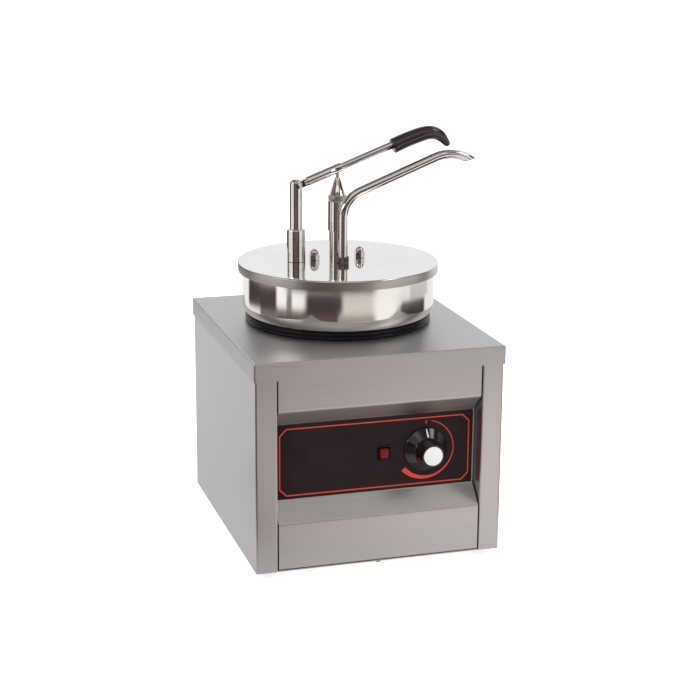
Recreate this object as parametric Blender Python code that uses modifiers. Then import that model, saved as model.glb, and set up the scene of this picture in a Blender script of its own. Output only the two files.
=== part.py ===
"""Hot fudge topping warmer: a counter-top water bath with a lift-out pot and a lever pump in its lid.

Lengths are in metres, +Z is up and the control panel faces -Y.
Heights are measured from the cabinet's bottom edge. The root empty is moved last, so that the origin lies
on the counter, under the middle of the whole warmer.
"""

import math

import bmesh
import bpy

# Fits and mesh fineness
GAP = 0.0003
RUNNING_GAP = 0.0003
OVERRUN = 0.004
MERGE = 0.00001
LARGE_STEPS = 36
MEDIUM_STEPS = 20
SMALL_STEPS = 12
TUBE_RINGS = 3
ARC_SEGMENTS = 4
SMOOTH_ANGLE = math.radians(32)

# Cabinet shell
COVER_WIDTH = 0.265
COVER_DEPTH = 0.290
COVER_HEIGHT = 0.221
APRON_HEIGHT = 0.0191
CABINET_SHEET = 0.0012
FOLD_RADIUS = 0.0015
FOLD_SEGMENTS = 2
COVER_HOLE_RADIUS = 0.095
POST_WIDTH = 0.0225
POST_TAB = 0.0125
BACK_TAB = 0.019
PANEL_SIDE_GAP = 0.0012
PANEL_SETBACK = 0.0007
RECESS_DEPTH = 0.0194
RECESS_BOTTOM = 0.070
RECESS_HEIGHT = 0.0795
TOP_TAB = 0.016
BOTTOM_TAB = 0.034
BASE_LIP = 0.012

# Vent slots in the back panel
VENT_COUNT = 9
VENT_PITCH = 0.014
VENT_WIDTH = 0.004
VENT_LENGTH = 0.034
VENT_CENTRE_HEIGHT = 0.160

# Feet and the screw under the front panel
FOOT_INSET_X = 0.016
FOOT_INSET_Y = 0.0295
FOOT_HEIGHT = 0.0085
FOOT_RADIUS = 0.009
FOOT_TAPER = 0.0008
FOOT_EDGE = 0.0005
FOOT_NECK_RADIUS = 0.0026
FOOT_BARB_RADIUS = 0.0039
FOOT_BARB_HEIGHT = 0.004
SCREW_INSET = 0.0058
SCREW_RADIUS = 0.0018
SCREW_HEAD_RADIUS = 0.0034
SCREW_HEAD_HEIGHT = 0.0024
SCREW_LENGTH = 0.009

# Pot, seat ring and water well, all on one upright axis
POT_SETBACK = 0.0129
POT_RADIUS = 0.1033
POT_WALL = 0.0011
POT_DRUM_HEIGHT = 0.0613
POT_SHOULDER = 0.020
POT_RIM_FLARE = 0.0025
POT_RIM_HEIGHT = 0.0045
INSERT_RADIUS = 0.092
INSERT_DEPTH = 0.1830
INSERT_CORNER = 0.006
RING_RADIUS = 0.0999
RING_HEIGHT = 0.0077
RING_WALL = 0.0015
RING_LIP = 0.0028
RING_SEAT_SLACK = 0.0006
WELL_RADIUS = 0.099
WELL_WALL = 0.001
WELL_FLANGE = 0.013
WELL_DEPTH = 0.192
WELL_CORNER = 0.008
WELL_STUD_RADIUS = 0.003
WELL_STUD_LENGTH = 0.015

# Heating element under the well
ELEMENT_OUTER = 0.080
ELEMENT_INNER = 0.012
ELEMENT_THICKNESS = 0.004
CLAMP_LENGTH = 0.150
CLAMP_WIDTH = 0.024
CLAMP_THICKNESS = 0.002
CLAMP_NUT_FLATS = 0.010
CLAMP_NUT_HEIGHT = 0.005

# Control plate, pilot lamp, knob and thermostat
PLATE_THICKNESS = 0.0008
PLATE_SIDE_MARGIN = 0.0013
PLATE_EDGE_MARGIN = 0.0004
CONTROL_RISE = 0.00115
LAMP_X = 0.0087
BEZEL_WIDTH = 0.0134
BEZEL_HEIGHT = 0.0144
BEZEL_RIM = 0.0016
BEZEL_LIP = 0.0009
LENS_WIDTH = 0.0095
LENS_HEIGHT = 0.0105
LENS_STANDOUT = 0.0050
LENS_EDGE = 0.0012
KNOB_X = 0.0541
KNOB_SKIRT_RADIUS = 0.0233
KNOB_RIM = 0.0014
KNOB_NECK_RADIUS = 0.0143
KNOB_FRONT_RADIUS = 0.0120
KNOB_SKIRT_DEPTH = 0.0074
KNOB_DEPTH = 0.0250
KNOB_EDGE = 0.0009
KNOB_CAVITY_RADIUS = 0.0105
KNOB_CAVITY_DEPTH = 0.0066
KNOB_SOCKET_DEPTH = 0.0150
KNOB_CAP_RADIUS = 0.0101
KNOB_CAP_THICKNESS = 0.0012
SHAFT_RADIUS = 0.003
SHAFT_INSIDE = 0.004
BUSH_RADIUS = 0.0048
BUSH_STANDOUT = 0.0030
BUSH_BORE_DEPTH = 0.012
BUSH_NUT_FLATS = 0.014
BUSH_NUT_HEIGHT = 0.0022
THERMOSTAT_WIDTH = 0.040
THERMOSTAT_HEIGHT = 0.032
THERMOSTAT_DEPTH = 0.028
BULB_RADIUS = 0.003
BULB_LENGTH = 0.070
BULB_BOTTOM = 0.060
BULB_BEARING = math.radians(-50)
CAPILLARY_RADIUS = 0.001
CAPILLARY_SAG = 0.018
CLIP_WIDTH = 0.012
CLIP_FOOT = 0.005
CLIP_SHEET = 0.0008

# Terminal block and cable gland at the back
TERMINAL_X = 0.080
TERMINAL_SETBACK = 0.0385
TERMINAL_LENGTH = 0.036
TERMINAL_DEPTH = 0.018
TERMINAL_HEIGHT = 0.015
TERMINAL_WAYS = 3
TERMINAL_WELL_RADIUS = 0.0032
TERMINAL_WELL_DEPTH = 0.008
GLAND_X = 0.085
GLAND_HEIGHT = 0.032
GLAND_THREAD_RADIUS = 0.006
GLAND_FLANGE_RADIUS = 0.0095
GLAND_FLANGE = 0.0035
GLAND_DOME_RADIUS = 0.0078
GLAND_DOME = 0.0095
GLAND_DOME_EDGE = 0.0022
GLAND_BORE_RADIUS = 0.0036
GLAND_INSIDE = 0.009
GLAND_NUT_FLATS = 0.017
GLAND_NUT_HEIGHT = 0.0045

# Lid and what is bolted to it
LID_SHEET = 0.0009
LID_RADIUS = 0.1074
LID_SKIRT = 0.0100
PUMP_BEHIND_CENTRE = 0.0041
LID_EDGE = 0.0016
NUT_BESIDE_SLEEVE = 0.0101
CAP_NUT_FLATS = 0.010
CAP_NUT_BASE = 0.0062
CAP_NUT_HEIGHT = 0.012
CAP_NUT_DOME_SHARE = 0.94
STUD_RADIUS = 0.003
STUD_STANDOUT = 0.007
PUMP_PLATE_THICKNESS = 0.003
PUMP_PLATE_CORNER = 0.008
PUMP_PLATE_MARGIN = 0.0105
PUMP_PLATE_DEPTH_MARGIN = 0.017

# Lever post
POST_REACH = 0.0454
SLEEVE_RADIUS = 0.0099
SLEEVE_HEIGHT = 0.0346
SLEEVE_CHAMFER = 0.0012
POST_RADIUS = 0.0068
POST_TOP_ABOVE_PIVOT = 0.0065
POST_TOP_ROUND = 0.0032
POST_SPIGOT_RADIUS = 0.004
POST_SPIGOT_LENGTH = 0.016
POST_NUT_FLATS = 0.013
POST_NUT_HEIGHT = 0.005
PIVOT_RISE = 0.0806
PIVOT_RADIUS = 0.002
CLEVIS_DEPTH = 0.010

# Lever, measured along it from the pivot
LEVER_REST = math.radians(20.7)
LEVER_SWING = math.radians(34.0)
TANG_THICKNESS = 0.0064
TANG_RADIUS = 0.0044
TANG_HALF_HEIGHT = 0.0036
TANG_LENGTH = 0.0126
TANG_LAP = 0.003
LEVER_SLEEVE_RADIUS = 0.005
SLEEVE_BEYOND_SLOT = 0.0006
LEVER_ROD_RADIUS = 0.004
LEVER_ROD_END = 0.138
SLOT_BEFORE_PIN = 0.0053
SLOT_BEYOND_PIN = 0.0041
SIDE_SLOT_HEIGHT = 0.0040
NECK_SLOT_WIDTH = 0.0046
NECK_SLOT_TOP = 0.0033
GRIP_START = 0.1132
GRIP_LENGTH = 0.0584
GRIP_DROP = 0.0232
GRIP_RADIUS = 0.0083
GRIP_STEPS = 2
GRIP_PIN_AT = 0.1231
GRIP_PIN_DROP = 0.002
GRIP_PIN_RADIUS = 0.0015
GRIP_PIN_HALF = 0.0074

# Plunger, from the cross pin down
CROSS_PIN_RADIUS = 0.0013
CROSS_PIN_HALF = 0.0048
EYE_RADIUS = 0.0027
NECK_RADIUS = 0.0019
NECK_SHOWING = 0.0101
CONE_HEIGHT = 0.018
CONE_RADIUS = 0.0086
BAND_HEIGHT = 0.0065
BAND_RADIUS = 0.0096
CAP_SKIRT_HEIGHT = 0.0322
CAP_SKIRT_RADIUS = 0.00975
CAP_SKIRT_WALL = 0.0007
CAP_CEILING_THICKNESS = 0.0030
ROD_RADIUS = 0.003
GUIDE_RADIUS = 0.0085
GUIDE_WALL = 0.0008
GUIDE_SEAT = 0.0055
STROKE_MARGIN = 0.001
SPRING_RADIUS = 0.0053
SPRING_WIRE_RADIUS = 0.0007
SPRING_TURNS = 7
SPRING_POINTS_PER_TURN = 6

# Pump cylinder, piston and valve body
CYLINDER_RADIUS = 0.014
CYLINDER_WALL = 0.0012
PISTON_HEIGHT = 0.016
PISTON_CLEARANCE = 0.0008
PISTON_MARGIN = 0.003
SEAL_HEIGHT = 0.004
SEAL_DEPTH = 0.0020
ROD_END_RADIUS = 0.002
PISTON_NUT_FLATS = 0.007
PISTON_NUT_HEIGHT = 0.003
ROD_END_BEYOND_NUT = 0.0006
VALVE_CLEARANCE = 0.005
VALVE_HEIGHT = 0.026
VALVE_RADIUS = 0.0175
VALVE_OUTLET_RADIUS = 0.009
CYLINDER_SOCKET = 0.006
INLET_CHAMBER_RADIUS = 0.009
INLET_HOLE_RADIUS = 0.004
INLET_FLOOR = 0.006
INLET_BALL_RADIUS = 0.0055
OUTLET_HOLE_RADIUS = 0.0032
OUTLET_SEAT_DEPTH = 0.010
OUTLET_BALL_RADIUS = 0.0042
PASSAGE_RADIUS = 0.0025
PASSAGE_RISE = 0.0105
RISER_SOCKET = 0.002

# Spout
SPOUT_SETBACK = 0.022
SPOUT_RADIUS = 0.005
SPOUT_WALL = 0.001
SPOUT_NUT_RADIUS = 0.0064
SPOUT_NUT_HEIGHT = 0.0066
SPOUT_JOINT = 0.0026
SPOUT_RISE = 0.0482
SPOUT_BEND = 0.030
SPOUT_SLOPE = math.radians(21.5)
SPOUT_RUN = 0.0888
SPOUT_END_BEND = 0.045
SPOUT_LIP_TURN = math.radians(57.5)
SPOUT_OVERTURN = math.radians(6)
SPOUT_CUT_TILT = math.radians(16.5)
BEND_STEP = math.radians(7.5)

# Handle outline: (share of grip length, share of grip drop, share of grip radius)
GRIP_SHARES = (
    (0.000, 0.066, 0.88),
    (0.020, 0.066, 0.98),
    (0.061, 0.066, 1.00),
    (0.296, 0.052, 0.97),
    (0.535, 0.079, 0.96),
    (0.684, 0.125, 0.91),
    (0.784, 0.208, 0.87),
    (0.875, 0.372, 0.79),
    (0.931, 0.555, 0.70),
    (0.972, 0.798, 0.55),
    (1.000, 1.000, 0.42),
    (1.011, 1.085, 0.26),
)

# Places worked out from the sizes above
SKIN_X = COVER_WIDTH / 2 - CABINET_SHEET - GAP
SKIN_Y = COVER_DEPTH / 2 - CABINET_SHEET - GAP
TERMINAL_Y = SKIN_Y - TERMINAL_SETBACK
UNDER_COVER = COVER_HEIGHT - CABINET_SHEET - GAP
POST_EDGE_X = SKIN_X - POST_WIDTH
PANEL_HALF_WIDTH = POST_EDGE_X - PANEL_SIDE_GAP
PANEL_FACE = PANEL_SETBACK - SKIN_Y
RECESS_FACE = PANEL_FACE + RECESS_DEPTH
RECESS_BACK = RECESS_FACE + CABINET_SHEET
RECESS_TOP = RECESS_BOTTOM + RECESS_HEIGHT
TAB_FACE = RECESS_BACK + GAP
TAB_BACK = TAB_FACE + CABINET_SHEET
BACK_TAB_FACE = SKIN_Y - CABINET_SHEET - GAP
PANEL_FOOT = CABINET_SHEET + GAP
TAB_NOTCH = PANEL_FOOT + CABINET_SHEET + GAP
PLATE_BACK = RECESS_FACE - GAP
PLATE_FACE = PLATE_BACK - PLATE_THICKNESS
CONTROL_HEIGHT = RECESS_BOTTOM + RECESS_HEIGHT / 2 + CONTROL_RISE
LAMP_BODY_DEPTH = (POT_SETBACK - WELL_RADIUS - RECESS_BACK) / 3
KNOB_BACK = PLATE_FACE - GAP
KNOB_FACE = KNOB_BACK - KNOB_DEPTH
RING_TOP = COVER_HEIGHT + GAP + RING_HEIGHT
RING_BEAD = RING_HEIGHT / 4
SHOULDER_CENTRE = POT_RADIUS - POT_SHOULDER
SEAT_REACH = RING_RADIUS - RING_BEAD - SHOULDER_CENTRE
SEAT_DROP = math.sqrt(POT_SHOULDER ** 2 - SEAT_REACH ** 2)
SHOULDER_FOOT = RING_TOP + GAP * POT_SHOULDER / SEAT_DROP - POT_SHOULDER + SEAT_DROP
RIM_HEIGHT = SHOULDER_FOOT + POT_DRUM_HEIGHT
LID_UNDERSIDE = RIM_HEIGHT + GAP
LID_TOP = LID_UNDERSIDE + LID_SHEET
PUMP_PLATE_TOP = LID_UNDERSIDE - GAP
PUMP_PLATE_BOTTOM = PUMP_PLATE_TOP - PUMP_PLATE_THICKNESS
POT_BOTTOM = SHOULDER_FOOT - INSERT_DEPTH
POT_FLOOR = POT_BOTTOM + POT_WALL
WELL_TOP = UNDER_COVER
WELL_BOTTOM = WELL_TOP - WELL_DEPTH
PIVOT_HEIGHT = LID_TOP + PIVOT_RISE
NUT_SPACING = POST_REACH - SLEEVE_RADIUS - NUT_BESIDE_SLEEVE
SIDE_SLOT_START = POST_REACH - SLOT_BEFORE_PIN
SIDE_SLOT_END = POST_REACH / math.cos(LEVER_REST) + SLOT_BEYOND_PIN
LEVER_SLEEVE_END = SIDE_SLOT_END + SLEEVE_BEYOND_SLOT
CROSS_PIN_HEIGHT = PIVOT_HEIGHT + POST_REACH * math.tan(LEVER_REST)
STROKE = POST_REACH * (math.tan(LEVER_REST) - math.tan(LEVER_REST - LEVER_SWING))
CONE_TIP = CROSS_PIN_HEIGHT - NECK_SHOWING
BAND_TOP = CONE_TIP - CONE_HEIGHT
BAND_BOTTOM = BAND_TOP - BAND_HEIGHT
CAP_BOTTOM = BAND_BOTTOM - CAP_SKIRT_HEIGHT
ROD_SHOULDER = BAND_BOTTOM + CAP_CEILING_THICKNESS
GUIDE_TOP = BAND_BOTTOM - STROKE - STROKE_MARGIN
SPRING_SEAT = LID_UNDERSIDE + GUIDE_SEAT
VALVE_BOTTOM = POT_FLOOR + VALVE_CLEARANCE
VALVE_TOP = VALVE_BOTTOM + VALVE_HEIGHT
CYLINDER_BOTTOM = VALVE_TOP - CYLINDER_SOCKET + GAP
BORE_RADIUS = CYLINDER_RADIUS - CYLINDER_WALL
PISTON_BOTTOM = CYLINDER_BOTTOM + STROKE + PISTON_MARGIN
PISTON_TOP = PISTON_BOTTOM + PISTON_HEIGHT
PUMP_Y = POT_SETBACK + PUMP_BEHIND_CENTRE
SPOUT_Y = PUMP_Y - SPOUT_SETBACK
OUTLET_SEAT = VALVE_TOP - OUTLET_SEAT_DEPTH
RISER_BOTTOM = VALVE_TOP - RISER_SOCKET
RISER_TOP = LID_TOP + SPOUT_JOINT
LEVER_SLEEVE_START = TANG_LENGTH + GAP


def clear_scene():
    """Start from an empty scene."""
    for old in list(bpy.data.objects):
        bpy.data.objects.remove(old, do_unlink=True)


def new_collection(name):
    """A collection linked to the scene."""
    collection = bpy.data.collections.new(name)
    bpy.context.scene.collection.children.link(collection)
    return collection


clear_scene()
PARTS = new_collection("hot_fudge_topping_warmer")
CUTTERS = new_collection("cutters")


# Small tools

def empty(name, at, parent=None):
    """An empty that carries the pieces of one moving body."""
    holder = bpy.data.objects.new(name, None)
    PARTS.objects.link(holder)
    holder.location = at
    carry(holder, parent)
    return holder


def carry(piece, parent):
    """Parent a piece without moving it."""
    if parent is None:
        return
    bpy.context.view_layer.update()
    piece.parent = parent
    piece.matrix_parent_inverse = parent.matrix_world.inverted()


def object_from(name, bm):
    """Turn a bmesh into an object among the parts."""
    mesh = bpy.data.meshes.new(name)
    bm.to_mesh(mesh)
    bm.free()
    piece = bpy.data.objects.new(name, mesh)
    PARTS.objects.link(piece)
    return piece


def as_cutter(piece):
    """Move a shape to the cutters, where it only guides a Boolean."""
    PARTS.objects.unlink(piece)
    CUTTERS.objects.link(piece)
    piece.hide_render = True
    piece.display_type = "WIRE"
    return piece


def combine(piece, other, operation):
    """Cut or join another shape with an exact Boolean."""
    boolean = piece.modifiers.new(other.name, "BOOLEAN")
    boolean.operation = operation
    boolean.object = as_cutter(other)
    boolean.solver = "EXACT"
    return piece


def cut(piece, *others):
    """Take shapes out of a piece."""
    for other in others:
        combine(piece, other, "DIFFERENCE")
    return piece


def join(piece, *others):
    """Add shapes to a piece as one body."""
    for other in others:
        combine(piece, other, "UNION")
    return piece


def shade(piece):
    """Smooth shading with sharp edges kept sharp."""
    piece.data.shade_smooth()
    piece.data.set_sharp_from_angle(angle=SMOOTH_ANGLE)
    return piece


def bevelled(piece, width, segments=2):
    """Round the edges that turn sharply."""
    bevel = piece.modifiers.new("edges", "BEVEL")
    bevel.width = width
    bevel.segments = segments
    bevel.limit_method = "ANGLE"
    return piece


def box(name, low, high):
    """A box between two corners, with its origin at the middle."""
    size = [b - a for a, b in zip(low, high)]
    bm = bmesh.new()
    bmesh.ops.create_cube(bm, size=1)
    bmesh.ops.scale(bm, vec=size, verts=bm.verts)
    piece = object_from(name, bm)
    piece.location = [(a + b) / 2 for a, b in zip(low, high)]
    return piece


def rod(name, radius, start, end, axis="Z", at=(0, 0, 0), steps=SMALL_STEPS):
    """A round bar along an axis, between two places on that axis."""
    bm = bmesh.new()
    length = end - start
    bmesh.ops.create_cone(bm, cap_ends=True, segments=steps, radius1=radius, radius2=radius, depth=length)
    piece = shade(object_from(name, bm))
    middle = (start + end) / 2
    place = list(at)
    place["XYZ".index(axis)] += middle
    piece.location = place
    if axis == "X":
        piece.rotation_euler = (0, math.pi / 2, 0)
    if axis == "Y":
        piece.rotation_euler = (math.pi / 2, 0, 0)
    return piece


def hexagon(name, flats, bottom, top, at=(0, 0, 0)):
    """A hexagonal prism that stands on Z, with two flats facing the front and the back."""
    corner = flats / 2 / math.cos(math.pi / 6)
    bm = bmesh.new()
    bmesh.ops.create_cone(bm, cap_ends=True, segments=6, radius1=corner, radius2=corner, depth=top - bottom)
    piece = object_from(name, bm)
    piece.location = (at[0], at[1], at[2] + (bottom + top) / 2)
    return piece


def turned(name, profile, at=(0, 0, 0), steps=SMALL_STEPS):
    """Turn a profile of (radius, height) points about Z, outer side from top to bottom."""
    bm = bmesh.new()
    ring = [bm.verts.new((radius, 0, height)) for radius, height in profile]
    for first, second in zip(ring, ring[1:]):
        bm.edges.new((first, second))
    if profile[0][0] > 0:
        bm.edges.new((ring[-1], ring[0]))
    blank = object_from(name + "_profile", bm)
    screw = blank.modifiers.new("turn", "SCREW")
    screw.axis = "Z"
    screw.angle = math.tau
    screw.steps = steps
    screw.render_steps = steps
    screw.use_merge_vertices = True
    screw.merge_threshold = MERGE
    piece = shade(meshed(name, blank))
    piece.location = at
    return piece


def meshed(name, source):
    """The evaluated mesh of a curve or a modified object, as a new object with its doubles welded."""
    bpy.context.view_layer.update()
    seen = source.evaluated_get(bpy.context.evaluated_depsgraph_get())
    mesh = bpy.data.meshes.new_from_object(seen)
    mesh.name = name
    bm = bmesh.new()
    bm.from_mesh(mesh)
    bmesh.ops.remove_doubles(bm, verts=bm.verts, dist=MERGE)
    bm.to_mesh(mesh)
    bm.free()
    piece = bpy.data.objects.new(name, mesh)
    piece.matrix_world = source.matrix_world.copy()
    PARTS.objects.link(piece)
    bpy.data.objects.remove(source, do_unlink=True)
    return piece


def tube(name, points, radius, rings=TUBE_RINGS, radii=None):
    """A round bar along a path; radii, where given, are shares of the radius."""
    curve = bpy.data.curves.new(name + "_path", "CURVE")
    curve.dimensions = "3D"
    curve.bevel_depth = radius
    curve.bevel_resolution = rings
    curve.use_fill_caps = True
    spline = curve.splines.new("POLY")
    spline.points.add(len(points) - 1)
    for index, place in enumerate(points):
        spline.points[index].co = (*place, 1)
        if radii:
            spline.points[index].radius = radii[index]
    path = bpy.data.objects.new(name + "_path", curve)
    PARTS.objects.link(path)
    return shade(meshed(name, path))


def slab(name, outline, bottom, top):
    """A flat plate from an outline of (x, y) points, standing on Z."""
    curve = bpy.data.curves.new(name + "_outline", "CURVE")
    curve.dimensions = "2D"
    curve.fill_mode = "BOTH"
    curve.extrude = (top - bottom) / 2
    spline = curve.splines.new("POLY")
    spline.points.add(len(outline) - 1)
    for index, (x, y) in enumerate(outline):
        spline.points[index].co = (x, y, 0, 1)
    spline.use_cyclic_u = True
    flat = bpy.data.objects.new(name + "_outline", curve)
    PARTS.objects.link(flat)
    flat.location = (0, 0, (bottom + top) / 2)
    return shade(meshed(name, flat))


def folded_sheet(name, path, axis, start, end, sheet, radius):
    """Sheet metal folded along a path, drawn on its outer face and run along one axis."""
    order = {"X": (2, 0, 1), "Y": (0, 2, 1), "Z": (0, 1, 2)}[axis]
    bm = bmesh.new()
    rows = []
    for run in (start, end):
        row = []
        for a, b in path:
            place = (a, b, run)
            row.append(bm.verts.new([place[index] for index in order]))
        rows.append(row)
    for index in range(len(path) - 1):
        face = (rows[0][index], rows[0][index + 1], rows[1][index + 1], rows[1][index])
        bm.faces.new(face)
    piece = object_from(name, bm)
    bevelled(piece, radius, FOLD_SEGMENTS)
    return thickened(piece, sheet)


def thickened(piece, sheet):
    """Give an open surface its thickness, on the inner side."""
    solid = piece.modifiers.new("sheet", "SOLIDIFY")
    solid.thickness = sheet
    solid.offset = -1
    solid.use_even_offset = True
    return piece


def arc(centre, radius, start, end, segments=ARC_SEGMENTS):
    """Points along an arc between two angles in degrees."""
    points = []
    for index in range(segments + 1):
        angle = math.radians(start + (end - start) * index / segments)
        points.append((centre[0] + radius * math.cos(angle), centre[1] + radius * math.sin(angle)))
    return points


def smooth_through(rows, between):
    """Rows of numbers with smooth rows in between, by Catmull and Rom's rule."""
    out = []
    last = len(rows) - 1
    for index in range(last):
        before = rows[max(index - 1, 0)]
        first = rows[index]
        second = rows[index + 1]
        after = rows[min(index + 2, last)]
        for step in range(between):
            t = step / between
            row = []
            for a, b, c, d in zip(before, first, second, after):
                value = 2 * b + (c - a) * t + (2 * a - 5 * b + 4 * c - d) * t * t
                row.append((value + (3 * b - a - 3 * c + d) * t ** 3) / 2)
            out.append(row)
    out.append(list(rows[-1]))
    return out


# Materials

def finish(name, colour, roughness, metallic):
    """A plain Principled material."""
    material = bpy.data.materials.new(name)
    material.use_nodes = True
    shader = material.node_tree.nodes["Principled BSDF"]
    shader.inputs["Base Color"].default_value = (*colour, 1)
    shader.inputs["Roughness"].default_value = roughness
    shader.inputs["Metallic"].default_value = metallic
    return material


FINISHES = {
    "brushed_steel": finish("brushed_steel", (0.62, 0.59, 0.57), 0.35, 1),
    "inner_steel": finish("inner_steel", (0.55, 0.55, 0.55), 0.45, 1),
    "polished_steel": finish("polished_steel", (0.80, 0.79, 0.78), 0.07, 1),
    "lid_steel": finish("lid_steel", (0.74, 0.73, 0.72), 0.15, 1),
    "tube_steel": finish("tube_steel", (0.78, 0.76, 0.75), 0.12, 1),
    "dark_steel": finish("dark_steel", (0.22, 0.20, 0.20), 0.35, 1),
    "black_rubber": finish("black_rubber", (0.02, 0.02, 0.02), 0.6, 0),
    "plate_black": finish("plate_black", (0.045, 0.03, 0.035), 0.45, 0),
    "knob_black": finish("knob_black", (0.015, 0.013, 0.013), 0.2, 0),
    "cap_white": finish("cap_white", (0.86, 0.86, 0.85), 0.3, 0),
    "lamp_red": finish("lamp_red", (0.45, 0.03, 0.02), 0.2, 0),
    "grip_brown": finish("grip_brown", (0.05, 0.025, 0.022), 0.25, 0),
    "element_grey": finish("element_grey", (0.30, 0.27, 0.24), 0.6, 0),
    "nylon_grey": finish("nylon_grey", (0.18, 0.18, 0.19), 0.5, 0),
    "seal_white": finish("seal_white", (0.85, 0.85, 0.82), 0.5, 0),
    "copper": finish("copper", (0.72, 0.42, 0.26), 0.3, 1),
}


def dress(piece, material):
    """Give a finished piece its one material."""
    piece.data.materials.clear()
    piece.data.materials.append(FINISHES[material])


def keep(piece, material, parent):
    """Dress a finished piece and hang it, with the shapes that guide its Booleans, on its body."""
    dress(piece, material)
    carry(piece, parent)
    for modifier in piece.modifiers:
        if modifier.type == "BOOLEAN":
            carry(modifier.object, parent)
    return piece


# Cabinet

def top_cover():
    """A pan turned upside down, with the round hole that the pot hangs in."""
    cover = box(
        "top_cover",
        (-COVER_WIDTH / 2, -COVER_DEPTH / 2, COVER_HEIGHT - APRON_HEIGHT),
        (COVER_WIDTH / 2, COVER_DEPTH / 2, COVER_HEIGHT),
    )
    bm = bmesh.new()
    bm.from_mesh(cover.data)
    floor = min(bm.faces, key=lambda face: face.calc_center_median().z)
    bmesh.ops.delete(bm, geom=[floor], context="FACES_ONLY")
    bm.to_mesh(cover.data)
    bm.free()
    bevelled(cover, FOLD_RADIUS, FOLD_SEGMENTS)
    thickened(cover, CABINET_SHEET)
    hole = rod(
        "cover_hole", COVER_HOLE_RADIUS, UNDER_COVER - OVERRUN, COVER_HEIGHT + OVERRUN,
        at=(0, POT_SETBACK, 0), steps=LARGE_STEPS,
    )
    cut(cover, hole)
    keep(cover, "brushed_steel", CABINET)


def side_panel(name, side):
    """A side with its front post folded back behind the control recess, and a tab for the back."""
    path = [
        (POST_EDGE_X - POST_TAB, TAB_FACE),
        (POST_EDGE_X, TAB_FACE),
        (POST_EDGE_X, -SKIN_Y),
        (SKIN_X, -SKIN_Y),
        (SKIN_X, BACK_TAB_FACE),
        (SKIN_X - BACK_TAB, BACK_TAB_FACE),
    ]
    if side < 0:
        path = [(-x, y) for x, y in reversed(path)]
    panel = folded_sheet(name, path, "Z", 0, UNDER_COVER, CABINET_SHEET, FOLD_RADIUS)
    inner = side * (POST_EDGE_X - POST_TAB - OVERRUN)
    outer = side * (POST_EDGE_X - GAP)
    notch = box(
        name + "_notch",
        (min(inner, outer), TAB_FACE - OVERRUN, -OVERRUN),
        (max(inner, outer), TAB_BACK + OVERRUN, TAB_NOTCH),
    )
    cut(panel, notch)
    keep(panel, "brushed_steel", CABINET)


def front_panel():
    """One sheet folded back to the control recess and out again, with tabs at the top and the foot."""
    path = [
        (PANEL_FACE + TOP_TAB, UNDER_COVER),
        (PANEL_FACE, UNDER_COVER),
        (PANEL_FACE, RECESS_TOP + RECESS_DEPTH),
        (RECESS_FACE, RECESS_TOP),
        (RECESS_FACE, RECESS_BOTTOM),
        (PANEL_FACE, RECESS_BOTTOM - RECESS_DEPTH),
        (PANEL_FACE, PANEL_FOOT),
        (PANEL_FACE + BOTTOM_TAB, PANEL_FOOT),
    ]
    panel = folded_sheet(
        "front_panel", path, "X", -PANEL_HALF_WIDTH, PANEL_HALF_WIDTH, CABINET_SHEET, FOLD_RADIUS,
    )
    cut(panel, bush_hole("panel_bush_hole"), lamp_hole("panel_lamp_hole"), screw_hole("panel_screw_hole"))
    keep(panel, "brushed_steel", CABINET)


def bush_hole(name):
    """Cutter for the thermostat's bush, through the recess and the control plate."""
    front = PLATE_FACE - OVERRUN
    back = RECESS_BACK + OVERRUN
    return rod(name, BUSH_RADIUS + GAP, front, back, "Y", (KNOB_X, 0, CONTROL_HEIGHT))


def lamp_hole(name):
    """Cutter for the lamp's body, through the recess and the control plate."""
    half_width = BEZEL_WIDTH / 2 - BEZEL_LIP + GAP
    half_height = BEZEL_HEIGHT / 2 - BEZEL_LIP + GAP
    return box(
        name,
        (LAMP_X - half_width, PLATE_FACE - OVERRUN, CONTROL_HEIGHT - half_height),
        (LAMP_X + half_width, RECESS_BACK + OVERRUN, CONTROL_HEIGHT + half_height),
    )


def screw_hole(name):
    """Cutter for the screw that holds the front panel to the base plate."""
    top = PANEL_FOOT + CABINET_SHEET + OVERRUN
    return rod(name, SCREW_RADIUS + GAP, -OVERRUN, top, at=(0, PANEL_FACE + SCREW_INSET, 0))


def back_panel():
    """A flat panel with a row of vent slots and the hole for the cable gland."""
    half = SKIN_X - GAP
    panel = box("back_panel", (-half, SKIN_Y - CABINET_SHEET, 0), (half, SKIN_Y, UNDER_COVER))
    slots = []
    for index in range(VENT_COUNT):
        x = (index - (VENT_COUNT - 1) / 2) * VENT_PITCH
        slots.append(box(
            "vent_slot_%d" % (index + 1),
            (x - VENT_WIDTH / 2, SKIN_Y - CABINET_SHEET - OVERRUN, VENT_CENTRE_HEIGHT - VENT_LENGTH / 2),
            (x + VENT_WIDTH / 2, SKIN_Y + OVERRUN, VENT_CENTRE_HEIGHT + VENT_LENGTH / 2),
        ))
    hole = rod(
        "gland_hole", GLAND_THREAD_RADIUS + GAP, SKIN_Y - CABINET_SHEET - OVERRUN, SKIN_Y + OVERRUN, "Y",
        (-GLAND_X, 0, GLAND_HEIGHT),
    )
    cut(panel, hole, *slots)
    keep(panel, "brushed_steel", CABINET)


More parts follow.
